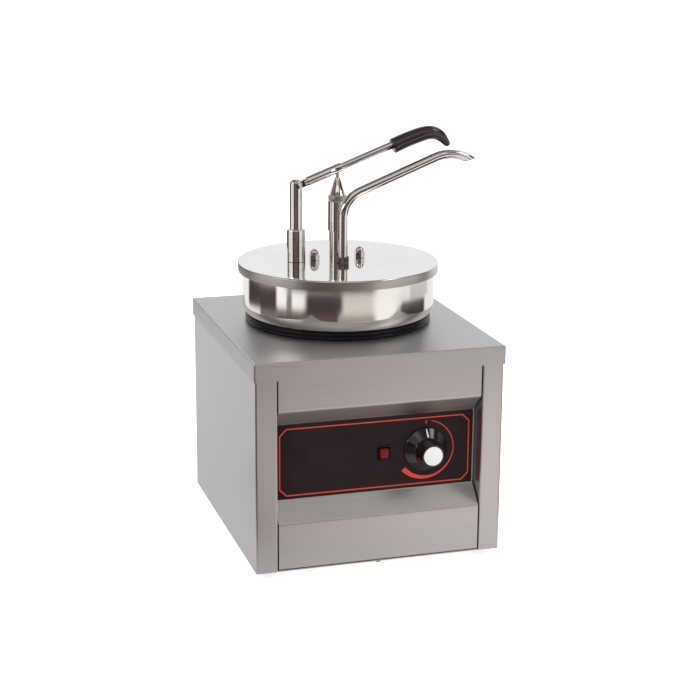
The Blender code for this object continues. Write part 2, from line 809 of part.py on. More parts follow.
def base_plate():
    """The floor of the cabinet, with a lip along each side and its front corners cut back for the posts."""
    half = SKIN_X - CABINET_SHEET - GAP
    path = [(half, BASE_LIP), (half, 0), (-half, 0), (-half, BASE_LIP)]
    back = BACK_TAB_FACE - CABINET_SHEET - GAP
    plate = folded_sheet("base_plate", path, "Y", PANEL_FACE, back, CABINET_SHEET, FOLD_RADIUS)
    for side, label in ((1, "right"), (-1, "left")):
        inner = side * (POST_EDGE_X - GAP)
        outer = side * (SKIN_X + OVERRUN)
        corner = box(
            "base_corner_" + label,
            (min(inner, outer), PANEL_FACE - OVERRUN, -OVERRUN),
            (max(inner, outer), TAB_BACK + GAP, BASE_LIP + OVERRUN),
        )
        cut(plate, corner)
    for name, x, y in foot_places():
        cut(plate, rod(name + "_hole", FOOT_NECK_RADIUS + GAP, -OVERRUN, OVERRUN, at=(x, y, 0)))
    cut(plate, screw_hole("base_screw_hole"))
    keep(plate, "inner_steel", CABINET)


def foot_places():
    """Names and places of the four feet."""
    x = SKIN_X - FOOT_INSET_X
    y = SKIN_Y - FOOT_INSET_Y
    return (
        ("foot_front_left", -x, -y),
        ("foot_front_right", x, -y),
        ("foot_back_left", -x, y),
        ("foot_back_right", x, y),
    )


def feet():
    """Four push-in rubber feet, barbed above the base plate."""
    barb = CABINET_SHEET + GAP
    profile = [
        (0, barb + FOOT_BARB_HEIGHT),
        (FOOT_NECK_RADIUS, barb + FOOT_BARB_HEIGHT),
        (FOOT_BARB_RADIUS, barb),
        (FOOT_NECK_RADIUS, barb),
        (FOOT_NECK_RADIUS, -GAP),
        (FOOT_RADIUS, -GAP),
        (FOOT_RADIUS - FOOT_TAPER, FOOT_EDGE - FOOT_HEIGHT),
        (FOOT_RADIUS - FOOT_TAPER - FOOT_EDGE, -FOOT_HEIGHT),
        (0, -FOOT_HEIGHT),
    ]
    for name, x, y in foot_places():
        keep(turned(name, profile, (x, y, 0)), "black_rubber", CABINET)


def panel_screw():
    """The pan-head screw under the front panel, its head below the base plate."""
    profile = [
        (0, SCREW_LENGTH),
        (SCREW_RADIUS, SCREW_LENGTH),
        (SCREW_RADIUS, -GAP),
        (SCREW_HEAD_RADIUS, -GAP),
        (SCREW_HEAD_RADIUS, -GAP - SCREW_HEAD_HEIGHT / 2),
        (SCREW_HEAD_RADIUS * math.cos(math.pi / 4), -GAP - SCREW_HEAD_HEIGHT),
        (0, -GAP - SCREW_HEAD_HEIGHT),
    ]
    screw = turned("panel_screw", profile, (0, PANEL_FACE + SCREW_INSET, 0))
    keep(screw, "dark_steel", CABINET)


def water_well():
    """The water bath: a deep pan hung under the cover, with a stud on its floor for the element."""
    inside = WELL_RADIUS - WELL_WALL
    floor = WELL_BOTTOM + WELL_WALL
    corner = inside - WELL_CORNER
    profile = [(0, floor)]
    profile += arc((corner, floor + WELL_CORNER), WELL_CORNER, -90, 0, 2)
    profile += [
        (inside, WELL_TOP),
        (WELL_RADIUS + WELL_FLANGE, WELL_TOP),
        (WELL_RADIUS + WELL_FLANGE, WELL_TOP - WELL_WALL),
        (WELL_RADIUS, WELL_TOP - WELL_WALL),
    ]
    profile += arc((corner, floor + WELL_CORNER), WELL_CORNER + WELL_WALL, 0, -90, 2)
    profile += [
        (WELL_STUD_RADIUS, WELL_BOTTOM),
        (WELL_STUD_RADIUS, WELL_BOTTOM - WELL_STUD_LENGTH),
        (0, WELL_BOTTOM - WELL_STUD_LENGTH),
    ]
    keep(turned("water_well", profile, (0, POT_SETBACK, 0), MEDIUM_STEPS), "inner_steel", CABINET)


def heating_element():
    """A flat ring element pressed against the well's floor."""
    top = WELL_BOTTOM - GAP
    bottom = top - ELEMENT_THICKNESS
    profile = [(ELEMENT_OUTER, top), (ELEMENT_OUTER, bottom), (ELEMENT_INNER, bottom), (ELEMENT_INNER, top)]
    keep(turned("heating_element", profile, (0, POT_SETBACK, 0), MEDIUM_STEPS), "element_grey", CABINET)


def element_clamp():
    """A bar across the element, pulled up by a nut on the well's stud."""
    top = WELL_BOTTOM - GAP - ELEMENT_THICKNESS - GAP
    bottom = top - CLAMP_THICKNESS
    bar = box(
        "element_clamp",
        (-CLAMP_LENGTH / 2, POT_SETBACK - CLAMP_WIDTH / 2, bottom),
        (CLAMP_LENGTH / 2, POT_SETBACK + CLAMP_WIDTH / 2, top),
    )
    cut(bar, stud_hole("clamp_hole", bottom - OVERRUN, top + OVERRUN))
    keep(bar, "inner_steel", CABINET)
    nut_top = bottom - GAP
    nut = hexagon("clamp_nut", CLAMP_NUT_FLATS, nut_top - CLAMP_NUT_HEIGHT, nut_top, (0, POT_SETBACK, 0))
    cut(nut, stud_hole("clamp_nut_hole", nut_top - CLAMP_NUT_HEIGHT - OVERRUN, nut_top + OVERRUN))
    keep(nut, "inner_steel", CABINET)


def stud_hole(name, bottom, top):
    """Cutter for the stud on the well's floor."""
    return rod(name, WELL_STUD_RADIUS + GAP, bottom, top, at=(0, POT_SETBACK, 0))


def shoulder_rise(radius):
    """How far the pot's shoulder has risen from its lowest level at a radius."""
    return POT_SHOULDER - math.sqrt(POT_SHOULDER ** 2 - (radius - SHOULDER_CENTRE) ** 2)


def seat_ring():
    """The rubber ring that the pot sits on: two beads, and a lip in the cover's hole."""
    bottom = COVER_HEIGHT + GAP
    centre = RING_RADIUS - RING_BEAD
    lip = COVER_HOLE_RADIUS - GAP
    inside = lip - RING_WALL
    lip_bottom = COVER_HEIGHT - CABINET_SHEET - RING_LIP
    profile = [(inside, SHOULDER_FOOT + shoulder_rise(inside) - RING_SEAT_SLACK)]
    profile += arc((centre, bottom + 3 * RING_BEAD), RING_BEAD, 90, -60, 3)
    profile += arc((centre, bottom + RING_BEAD), RING_BEAD, 60, -90, 3)
    profile += [(lip, bottom), (lip, lip_bottom), (inside, lip_bottom)]
    keep(turned("seat_ring", profile, (0, POT_SETBACK, 0), LARGE_STEPS), "black_rubber", CABINET)


# Controls

def control_plate():
    """The black plate in the recess."""
    half = PANEL_HALF_WIDTH - PLATE_SIDE_MARGIN
    plate = box(
        "control_plate",
        (-half, PLATE_FACE, RECESS_BOTTOM + PLATE_EDGE_MARGIN),
        (half, PLATE_BACK, RECESS_TOP - PLATE_EDGE_MARGIN),
    )
    cut(plate, bush_hole("plate_bush_hole"), lamp_hole("plate_lamp_hole"))
    keep(plate, "plate_black", CABINET)


def pilot_lamp():
    """A square bezel clipped through the plate, and its red lens."""
    rim_back = PLATE_FACE - GAP
    half_width = BEZEL_WIDTH / 2
    half_height = BEZEL_HEIGHT / 2
    bezel = bevelled(box(
        "lamp_bezel",
        (LAMP_X - half_width, rim_back - BEZEL_RIM, CONTROL_HEIGHT - half_height),
        (LAMP_X + half_width, rim_back, CONTROL_HEIGHT + half_height),
    ), BEZEL_LIP / 2)
    body_back = RECESS_BACK + LAMP_BODY_DEPTH
    join(bezel, box(
        "bezel_body",
        (LAMP_X - half_width + BEZEL_LIP, rim_back - BEZEL_RIM / 2, CONTROL_HEIGHT - half_height + BEZEL_LIP),
        (LAMP_X + half_width - BEZEL_LIP, body_back, CONTROL_HEIGHT + half_height - BEZEL_LIP),
    ))
    lens_back = body_back - BEZEL_RIM
    lens_half = LENS_WIDTH / 2
    lens_rise = LENS_HEIGHT / 2
    cut(bezel, box(
        "bezel_opening",
        (LAMP_X - lens_half - GAP, rim_back - BEZEL_RIM - OVERRUN, CONTROL_HEIGHT - lens_rise - GAP),
        (LAMP_X + lens_half + GAP, lens_back, CONTROL_HEIGHT + lens_rise + GAP),
    ))
    keep(bezel, "plate_black", CABINET)
    lens = box(
        "lamp_lens",
        (LAMP_X - lens_half, PLATE_FACE - LENS_STANDOUT, CONTROL_HEIGHT - lens_rise),
        (LAMP_X + lens_half, lens_back - GAP, CONTROL_HEIGHT + lens_rise),
    )
    keep(bevelled(lens, LENS_EDGE), "lamp_red", CABINET)


def facing_front(piece, x, y, height):
    """Stand a piece turned about Z on the front, its Z pointing out of the panel."""
    piece.location = (x, y, height)
    piece.rotation_euler = (math.pi / 2, 0, 0)
    return piece


def knob():
    """The control knob: a conical skirt, a fluted grip and a hollow back over the bush nut."""
    neck = KNOB_RIM + KNOB_SKIRT_DEPTH
    bore = SHAFT_RADIUS + GAP
    seat = KNOB_CAP_RADIUS + GAP
    profile = [
        (0, KNOB_DEPTH - KNOB_CAP_THICKNESS),
        (seat, KNOB_DEPTH - KNOB_CAP_THICKNESS),
        (seat, KNOB_DEPTH),
        (KNOB_FRONT_RADIUS - KNOB_EDGE, KNOB_DEPTH),
        (KNOB_FRONT_RADIUS, KNOB_DEPTH - KNOB_EDGE),
        (KNOB_NECK_RADIUS, neck),
        (KNOB_SKIRT_RADIUS, KNOB_RIM),
        (KNOB_SKIRT_RADIUS, 0),
        (KNOB_CAVITY_RADIUS, 0),
        (KNOB_CAVITY_RADIUS, KNOB_CAVITY_DEPTH),
        (bore, KNOB_CAVITY_DEPTH),
        (bore, KNOB_SOCKET_DEPTH),
        (0, KNOB_SOCKET_DEPTH),
    ]
    grip = turned("knob", profile, steps=MEDIUM_STEPS)
    grip = facing_front(grip, KNOB_X, KNOB_BACK, CONTROL_HEIGHT)
    keep(grip, "knob_black", KNOB)
    cap_profile = [
        (0, KNOB_DEPTH + KNOB_CAP_THICKNESS / 2),
        (KNOB_CAP_RADIUS - KNOB_EDGE / 2, KNOB_DEPTH + KNOB_CAP_THICKNESS / 2),
        (KNOB_CAP_RADIUS, KNOB_DEPTH + KNOB_CAP_THICKNESS / 4),
        (KNOB_CAP_RADIUS, KNOB_DEPTH - KNOB_CAP_THICKNESS + GAP),
        (0, KNOB_DEPTH - KNOB_CAP_THICKNESS + GAP),
    ]
    cap = facing_front(turned("knob_cap", cap_profile, steps=MEDIUM_STEPS), KNOB_X, KNOB_BACK, CONTROL_HEIGHT)
    keep(cap, "cap_white", KNOB)
    shaft_front = KNOB_BACK - KNOB_SOCKET_DEPTH + GAP
    shaft_back = RECESS_BACK + SHAFT_INSIDE
    shaft = rod("thermostat_shaft", SHAFT_RADIUS, shaft_front, shaft_back, "Y", (KNOB_X, 0, CONTROL_HEIGHT))
    keep(shaft, "inner_steel", KNOB)


def thermostat():
    """The capillary thermostat behind the plate, held by a nut on its bush."""
    front = RECESS_BACK + GAP
    body = bevelled(box(
        "thermostat_body",
        (KNOB_X - THERMOSTAT_WIDTH / 2, front, CONTROL_HEIGHT - THERMOSTAT_HEIGHT / 2),
        (KNOB_X + THERMOSTAT_WIDTH / 2, front + THERMOSTAT_DEPTH, CONTROL_HEIGHT + THERMOSTAT_HEIGHT / 2),
    ), BEZEL_LIP, 1)
    place = (KNOB_X, 0, CONTROL_HEIGHT)
    bush_front = PLATE_FACE - BUSH_STANDOUT
    join(body, rod("thermostat_bush", BUSH_RADIUS, bush_front, front + OVERRUN, "Y", place))
    bore_end = RECESS_BACK + BUSH_BORE_DEPTH
    cut(body, rod("bush_bore", SHAFT_RADIUS + RUNNING_GAP, bush_front - OVERRUN, bore_end, "Y", place))
    keep(body, "element_grey", CABINET)
    nut = hexagon("bush_nut", BUSH_NUT_FLATS, GAP, GAP + BUSH_NUT_HEIGHT)
    nut_front = PLATE_FACE - BUSH_NUT_HEIGHT - OVERRUN
    hole = rod("bush_nut_hole", BUSH_RADIUS + GAP, nut_front, PLATE_FACE, "Y", place)
    nut.rotation_euler = (math.pi / 2, 0, 0)
    nut.location = (KNOB_X, PLATE_FACE - GAP - BUSH_NUT_HEIGHT / 2, CONTROL_HEIGHT)
    cut(nut, hole)
    keep(nut, "inner_steel", CABINET)


def bulb_place():
    """Where the sensor bulb stands against the well's wall."""
    reach = WELL_RADIUS + GAP + BULB_RADIUS
    return reach * math.cos(BULB_BEARING), POT_SETBACK + reach * math.sin(BULB_BEARING)


def sensor():
    """The sensor bulb on the well's wall, its spring clip and the capillary tube to the thermostat."""
    x, y = bulb_place()
    bulb = rod("sensor_bulb", BULB_RADIUS, BULB_BOTTOM, BULB_BOTTOM + BULB_LENGTH, at=(x, y, 0))
    keep(bulb, "copper", CABINET)
    start_y = RECESS_BACK + GAP + THERMOSTAT_DEPTH / 2
    start = (KNOB_X, start_y, CONTROL_HEIGHT - THERMOSTAT_HEIGHT / 2 - GAP)
    end = (x, y, BULB_BOTTOM - GAP)
    low = BULB_BOTTOM - CAPILLARY_SAG
    route = [
        start,
        (KNOB_X, start_y, (start[2] + low) / 2),
        ((3 * KNOB_X + x) / 4, (3 * start_y + y) / 4, low),
        ((KNOB_X + 3 * x) / 4, (start_y + 3 * y) / 4, low - CAPILLARY_SAG / 4),
        (x, y, (low + end[2]) / 2),
        end,
    ]
    capillary = tube("capillary_tube", smooth_through(route, 3), CAPILLARY_RADIUS, rings=1)
    keep(capillary, "copper", CABINET)
    over = BULB_RADIUS + GAP + CLIP_SHEET
    path = [(-over - CLIP_FOOT, CLIP_SHEET), (-over, CLIP_SHEET)]
    path += arc((0, BULB_RADIUS), over, 180, 0, 8)
    path += [(over, CLIP_SHEET), (over + CLIP_FOOT, CLIP_SHEET)]
    clip = clip_sheet(path)
    middle = BULB_BOTTOM + BULB_LENGTH / 2
    wall = WELL_RADIUS + GAP
    clip.location = (
        wall * math.cos(BULB_BEARING), POT_SETBACK + wall * math.sin(BULB_BEARING), middle - CLIP_WIDTH / 2,
    )
    clip.rotation_euler = (0, 0, BULB_BEARING - math.pi / 2)
    keep(clip, "inner_steel", CABINET)


def clip_sheet(path):
    """The strap over the bulb, run along Z."""
    bm = bmesh.new()
    rows = [[bm.verts.new((x, y, height)) for x, y in path] for height in (0, CLIP_WIDTH)]
    for index in range(len(path) - 1):
        bm.faces.new((rows[1][index], rows[1][index + 1], rows[0][index + 1], rows[0][index]))
    return thickened(object_from("bulb_clip", bm), CLIP_SHEET)


def terminal_block():
    """The mains terminal block on the base plate."""
    bottom = CABINET_SHEET + GAP
    block = bevelled(box(
        "terminal_block",
        (-TERMINAL_X - TERMINAL_LENGTH / 2, TERMINAL_Y - TERMINAL_DEPTH / 2, bottom),
        (-TERMINAL_X + TERMINAL_LENGTH / 2, TERMINAL_Y + TERMINAL_DEPTH / 2, bottom + TERMINAL_HEIGHT),
    ), BEZEL_LIP, 1)
    top = bottom + TERMINAL_HEIGHT
    for way in range(TERMINAL_WAYS):
        x = -TERMINAL_X + (way - (TERMINAL_WAYS - 1) / 2) * TERMINAL_LENGTH / TERMINAL_WAYS
        name = "terminal_way_%d" % (way + 1)
        low = top - TERMINAL_WELL_DEPTH
        cut(block, rod(name, TERMINAL_WELL_RADIUS, low, top + OVERRUN, at=(x, TERMINAL_Y, 0)))
    keep(block, "nylon_grey", CABINET)


def cable_gland():
    """The gland in the back panel and the nut inside that holds it."""
    profile = [
        (GLAND_BORE_RADIUS, GLAND_FLANGE + GLAND_DOME),
        (GLAND_DOME_RADIUS - GLAND_DOME_EDGE, GLAND_FLANGE + GLAND_DOME),
        (GLAND_DOME_RADIUS, GLAND_FLANGE + GLAND_DOME - GLAND_DOME_EDGE),
        (GLAND_DOME_RADIUS, GLAND_FLANGE),
        (GLAND_FLANGE_RADIUS, GLAND_FLANGE),
        (GLAND_FLANGE_RADIUS, 0),
        (GLAND_THREAD_RADIUS, 0),
        (GLAND_THREAD_RADIUS, -GAP - CABINET_SHEET - GLAND_INSIDE),
        (GLAND_BORE_RADIUS, -GAP - CABINET_SHEET - GLAND_INSIDE),
    ]
    gland = turned("cable_gland", profile)
    gland.rotation_euler = (-math.pi / 2, 0, 0)
    gland.location = (-GLAND_X, SKIN_Y + GAP, GLAND_HEIGHT)
    keep(gland, "nylon_grey", CABINET)
    nut_face = SKIN_Y - CABINET_SHEET - GAP
    nut = hexagon("gland_nut", GLAND_NUT_FLATS, 0, GLAND_NUT_HEIGHT)
    nut.rotation_euler = (math.pi / 2, 0, 0)
    nut.location = (-GLAND_X, nut_face - GLAND_NUT_HEIGHT / 2, GLAND_HEIGHT)
    inner = nut_face - GLAND_NUT_HEIGHT - OVERRUN
    place = (-GLAND_X, 0, GLAND_HEIGHT)
    cut(nut, rod("gland_nut_hole", GLAND_THREAD_RADIUS + GAP, inner, nut_face + OVERRUN, "Y", place))
    keep(nut, "nylon_grey", CABINET)


# Pot and lid

def pot():
    """The fudge pot: a deep insert, a rounded shoulder on the ring and a drum with a flared rim."""
    inner = INSERT_RADIUS - POT_WALL
    corner = (INSERT_RADIUS - INSERT_CORNER, POT_BOTTOM + INSERT_CORNER)
    shoulder = (SHOULDER_CENTRE, SHOULDER_FOOT + POT_SHOULDER)
    outer_turn = math.degrees(math.acos((INSERT_RADIUS - SHOULDER_CENTRE) / POT_SHOULDER))
    inner_turn = math.degrees(math.acos((inner - SHOULDER_CENTRE) / (POT_SHOULDER - POT_WALL)))
    flare = RIM_HEIGHT - POT_RIM_HEIGHT
    rim = POT_RADIUS + POT_RIM_FLARE
    profile = [(0, POT_FLOOR)]
    profile += arc(corner, INSERT_CORNER - POT_WALL, -90, 0, 2)
    profile += arc(shoulder, POT_SHOULDER - POT_WALL, -inner_turn, 0, 3)
    profile += [(POT_RADIUS - POT_WALL, flare + POT_WALL / 2)]
    profile += [(rim - POT_WALL, RIM_HEIGHT)]
    profile += [(rim, RIM_HEIGHT), (rim, RIM_HEIGHT - POT_WALL), (POT_RADIUS, flare)]
    profile += arc(shoulder, POT_SHOULDER, 0, -outer_turn)
    profile += arc(corner, INSERT_CORNER, 0, -90, 2)
    profile += [(0, POT_BOTTOM)]
    keep(turned("pot", profile, (0, POT_SETBACK, 0), LARGE_STEPS), "polished_steel", POT)


def lid():
    """The flat lid with its short skirt, drilled for the pump, the post, the spout and two studs."""
    inside = LID_RADIUS - LID_SHEET
    skirt = LID_TOP - LID_SKIRT
    edge = (LID_RADIUS - LID_EDGE, LID_TOP - LID_EDGE)
    profile = [(0, LID_TOP)]
    profile += arc(edge, LID_EDGE, 90, 0, 3)
    profile += [(LID_RADIUS, skirt), (inside, skirt)]
    profile += arc(edge, LID_EDGE - LID_SHEET, 0, 90, 2)
    profile += [(0, LID_UNDERSIDE)]
    cover = turned("lid", profile, (0, POT_SETBACK, 0), LARGE_STEPS)
    low = LID_UNDERSIDE - OVERRUN
    high = LID_TOP + OVERRUN
    cut(
        cover,
        rod("lid_guide_hole", GUIDE_RADIUS + GAP, low, high, at=(0, PUMP_Y, 0)),
        rod("lid_riser_hole", SPOUT_RADIUS + GAP, low, high, at=(0, SPOUT_Y, 0)),
        rod("lid_post_hole", POST_SPIGOT_RADIUS + GAP, low, high, at=(-POST_REACH, PUMP_Y, 0)),
        rod("lid_stud_hole_left", STUD_RADIUS + GAP, low, high, at=(-NUT_SPACING, PUMP_Y, 0)),
        rod("lid_stud_hole_right", STUD_RADIUS + GAP, low, high, at=(NUT_SPACING, PUMP_Y, 0)),
    )
    keep(cover, "lid_steel", LID)


def pump_plate():
    """The plate under the lid that carries the pump and the post, with a stud for each cap nut."""
    left = -POST_REACH - PUMP_PLATE_MARGIN
    right = NUT_SPACING + PUMP_PLATE_MARGIN
    front = SPOUT_Y - PUMP_PLATE_MARGIN
    back = PUMP_Y + PUMP_PLATE_DEPTH_MARGIN
    c = PUMP_PLATE_CORNER
    outline = arc((right - c, back - c), c, 0, 90) + arc((left + c, back - c), c, 90, 180)
    outline += arc((left + c, front + c), c, 180, 270) + arc((right - c, front + c), c, 270, 360)
    plate = slab("pump_plate", outline, PUMP_PLATE_BOTTOM, PUMP_PLATE_TOP)
    middle = (PUMP_PLATE_BOTTOM + PUMP_PLATE_TOP) / 2
    top = LID_TOP + STUD_STANDOUT
    low = PUMP_PLATE_BOTTOM - OVERRUN
    high = PUMP_PLATE_TOP + OVERRUN
    for side, label in ((-1, "left"), (1, "right")):
        join(plate, rod("stud_" + label, STUD_RADIUS, middle, top, at=(side * NUT_SPACING, PUMP_Y, 0)))
    cut(
        plate,
        rod("plate_rod_hole", ROD_RADIUS + RUNNING_GAP, low, high, at=(0, PUMP_Y, 0)),
        rod("plate_riser_hole", SPOUT_RADIUS + GAP, low, high, at=(0, SPOUT_Y, 0)),
        rod("plate_post_hole", POST_SPIGOT_RADIUS + GAP, low, high, at=(-POST_REACH, PUMP_Y, 0)),
    )
    keep(plate, "inner_steel", LID)


def cap_nuts():
    """Two domed nuts that hold the lid down on the pump plate."""
    bottom = LID_TOP + GAP
    dome_radius = CAP_NUT_FLATS / 2 * CAP_NUT_DOME_SHARE
    dome_centre = bottom + CAP_NUT_HEIGHT - dome_radius
    profile = arc((0, dome_centre), dome_radius, 90, 0)
    profile[0] = (0, profile[0][1])
    profile += [(dome_radius, bottom + CAP_NUT_BASE / 2), (0, bottom + CAP_NUT_BASE / 2)]
    for side, label in ((-1, "left"), (1, "right")):
        place = (side * NUT_SPACING, PUMP_Y, 0)
        nut = hexagon("cap_nut_" + label, CAP_NUT_FLATS, bottom, bottom + CAP_NUT_BASE, place)
        join(nut, turned("cap_nut_dome_" + label, profile, place))
        top = LID_TOP + STUD_STANDOUT + GAP
        cut(nut, rod("cap_nut_bore_" + label, STUD_RADIUS + GAP, LID_TOP - OVERRUN, top, at=place))
        keep(nut, "tube_steel", LID)


# Lever post

def post_sleeve():
    """The wide foot of the lever post."""
    bottom = LID_TOP + GAP
    top = LID_TOP + SLEEVE_HEIGHT
    bore = POST_RADIUS + GAP
    profile = [
        (bore, top),
        (SLEEVE_RADIUS - SLEEVE_CHAMFER, top),
        (SLEEVE_RADIUS, top - SLEEVE_CHAMFER),
        (SLEEVE_RADIUS, bottom),
        (bore, bottom),
    ]
    keep(turned("post_sleeve", profile, (-POST_REACH, PUMP_Y, 0), MEDIUM_STEPS), "tube_steel", LID)


def lever_post():
    """The post itself: round-topped, slotted for the lever's tang and bolted through the lid."""
    top = PIVOT_HEIGHT + POST_TOP_ABOVE_PIVOT
    bottom = LID_TOP + GAP
    spigot = PUMP_PLATE_BOTTOM - POST_SPIGOT_LENGTH + PUMP_PLATE_THICKNESS
    profile = [(0, top)]
    profile += arc((POST_RADIUS - POST_TOP_ROUND, top - POST_TOP_ROUND), POST_TOP_ROUND, 90, 0, 3)
    profile += [
        (POST_RADIUS, bottom),
        (POST_SPIGOT_RADIUS, bottom),
        (POST_SPIGOT_RADIUS, spigot),
        (0, spigot),
    ]
    post = turned("lever_post", profile, (-POST_REACH, PUMP_Y, 0), MEDIUM_STEPS)
    half = TANG_THICKNESS / 2 + RUNNING_GAP
    slot = box(
        "clevis_slot",
        (-POST_REACH - TANG_RADIUS - 2 * RUNNING_GAP, PUMP_Y - half, PIVOT_HEIGHT - CLEVIS_DEPTH),
        (-POST_REACH + POST_RADIUS + OVERRUN, PUMP_Y + half, top + OVERRUN),
    )
    cut(post, slot, pivot_hole("post_pivot_hole"))
    keep(post, "tube_steel", LID)
    nut_top = PUMP_PLATE_BOTTOM - GAP
    place = (-POST_REACH, PUMP_Y, 0)
    nut = hexagon("post_nut", POST_NUT_FLATS, nut_top - POST_NUT_HEIGHT, nut_top, place)
    cut(nut, rod(
        "post_nut_hole", POST_SPIGOT_RADIUS + GAP, nut_top - POST_NUT_HEIGHT - OVERRUN, nut_top + OVERRUN,
        at=place,
    ))
    keep(nut, "inner_steel", LID)


def pivot_hole(name):
    """Cutter for the pivot pin, across the post."""
    reach = POST_RADIUS + OVERRUN
    return rod(
        name, PIVOT_RADIUS + GAP, -reach, reach, "Y", (-POST_REACH, PUMP_Y, PIVOT_HEIGHT),
    )


def pivot_pin():
    """The pin that the lever turns on, flush with the post's sides."""
    half = POST_RADIUS - GAP
    pin = rod("pivot_pin", PIVOT_RADIUS, -half, half, "Y", (-POST_REACH, PUMP_Y, PIVOT_HEIGHT))
    keep(pin, "dark_steel", LID)


# Lever

def lever_rod():
    """The lever's core: a flat tang on the pivot, then a round rod with the plunger's slots."""
    start = TANG_LENGTH - TANG_LAP
    core = rod("lever_rod", LEVER_ROD_RADIUS, start, LEVER_ROD_END, "X")
    outline = arc((0, 0), TANG_RADIUS, *tang_angles(), 10)
    outline += [(TANG_LENGTH, -TANG_HALF_HEIGHT), (TANG_LENGTH, TANG_HALF_HEIGHT)]
    tang = slab("lever_tang", outline, -TANG_THICKNESS / 2, TANG_THICKNESS / 2)
    tang.rotation_euler = (math.pi / 2, 0, 0)
    join(core, tang)
    hole = rod("tang_hole", PIVOT_RADIUS + GAP, -TANG_THICKNESS, TANG_THICKNESS, "Y")
    cut(core, hole, side_slot("rod_side_slot"), neck_slot("rod_neck_slot"), grip_pin_hole("rod_pin_hole"))
    return lever_piece(core, "tube_steel")


def tang_angles():
    """Where the tang's round end meets its straight edges."""
    edge = math.degrees(math.asin(TANG_HALF_HEIGHT / TANG_RADIUS))
    return edge, 360 - edge


def lever_sleeve():
    """The thicker stretch over the plunger, slotted at its sides and from below."""
    profile = [
        (LEVER_SLEEVE_RADIUS, LEVER_SLEEVE_END),
        (LEVER_SLEEVE_RADIUS, LEVER_SLEEVE_START),
        (LEVER_ROD_RADIUS + GAP, LEVER_SLEEVE_START),
        (LEVER_ROD_RADIUS + GAP, LEVER_SLEEVE_END),
    ]
    sleeve = turned("lever_sleeve", profile)
    sleeve.rotation_euler = (0, math.pi / 2, 0)
    cut(sleeve, side_slot("sleeve_side_slot"), neck_slot("sleeve_neck_slot"))
    return lever_piece(sleeve, "tube_steel")


def side_slot(name):
    """Cutter for the slot that the cross pin slides in."""
    reach = LEVER_SLEEVE_RADIUS + OVERRUN
    return box(
        name,
        (SIDE_SLOT_START, -reach, -SIDE_SLOT_HEIGHT / 2),
        (SIDE_SLOT_END, reach, SIDE_SLOT_HEIGHT / 2),
    )


def neck_slot(name):
    """Cutter for the slot that the plunger's neck enters from below."""
    return box(
        name,
        (SIDE_SLOT_START - GAP, -NECK_SLOT_WIDTH / 2, -LEVER_SLEEVE_RADIUS - OVERRUN),
        (SIDE_SLOT_END + GAP, NECK_SLOT_WIDTH / 2, NECK_SLOT_TOP),
    )


def grip_pin_hole(name):
    """Cutter for the pin that holds the grip on the rod."""
    reach = GRIP_RADIUS + OVERRUN
    return rod(
        name, GRIP_PIN_RADIUS + GAP, -reach, reach, "Y", (GRIP_PIN_AT, 0, -GRIP_PIN_DROP),
    )


def handle_grip():
    """The moulded grip, bent down at its end and bored for the rod."""
    rows = smooth_through(GRIP_SHARES, GRIP_STEPS)
    points = [(GRIP_START + GRIP_LENGTH * run, 0, -GRIP_DROP * fall) for run, fall, size in rows]
    grip = tube("handle_grip", points, GRIP_RADIUS, radii=[size for run, fall, size in rows])
    bore = rod("grip_bore", LEVER_ROD_RADIUS + GAP, GRIP_START - OVERRUN, LEVER_ROD_END + GAP, "X")
    cut(grip, bore, grip_pin_hole("grip_pin_hole"))
    return lever_piece(grip, "grip_brown")


def grip_pin():
    """The small pin across the grip."""
    pin = rod(
        "grip_pin", GRIP_PIN_RADIUS, -GRIP_PIN_HALF, GRIP_PIN_HALF, "Y", (GRIP_PIN_AT, 0, -GRIP_PIN_DROP),
    )
    return lever_piece(pin, "dark_steel")


def lever_piece(piece, material):
    """Dress a lever piece and its cutters, and hang them on the tilted lever empty."""
    dress(piece, material)
    piece.parent = LEVER
    for modifier in piece.modifiers:
        if modifier.type == "BOOLEAN":
            modifier.object.parent = LEVER
    return piece


# Plunger and pump

def plunger_cap():
    """The bullet-shaped cap: a cone, a matt band and a skirt that slides over the guide."""
    neck = NECK_RADIUS + GAP
    inside = CAP_SKIRT_RADIUS - CAP_SKIRT_WALL
    profile = [
        (neck, CONE_TIP),
        (neck + CAP_SKIRT_WALL, CONE_TIP),
        (CONE_RADIUS, BAND_TOP),
        (BAND_RADIUS, BAND_TOP),
        (BAND_RADIUS, BAND_BOTTOM),
        (CAP_SKIRT_RADIUS, BAND_BOTTOM),
        (CAP_SKIRT_RADIUS, CAP_BOTTOM),
        (inside, CAP_BOTTOM),
        (inside, BAND_BOTTOM),
        (ROD_RADIUS + GAP, BAND_BOTTOM),
        (ROD_RADIUS + GAP, ROD_SHOULDER + GAP),
        (neck, ROD_SHOULDER + GAP),
    ]
    keep(turned("plunger_cap", profile, (0, PUMP_Y, 0), MEDIUM_STEPS), "tube_steel", PLUNGER)


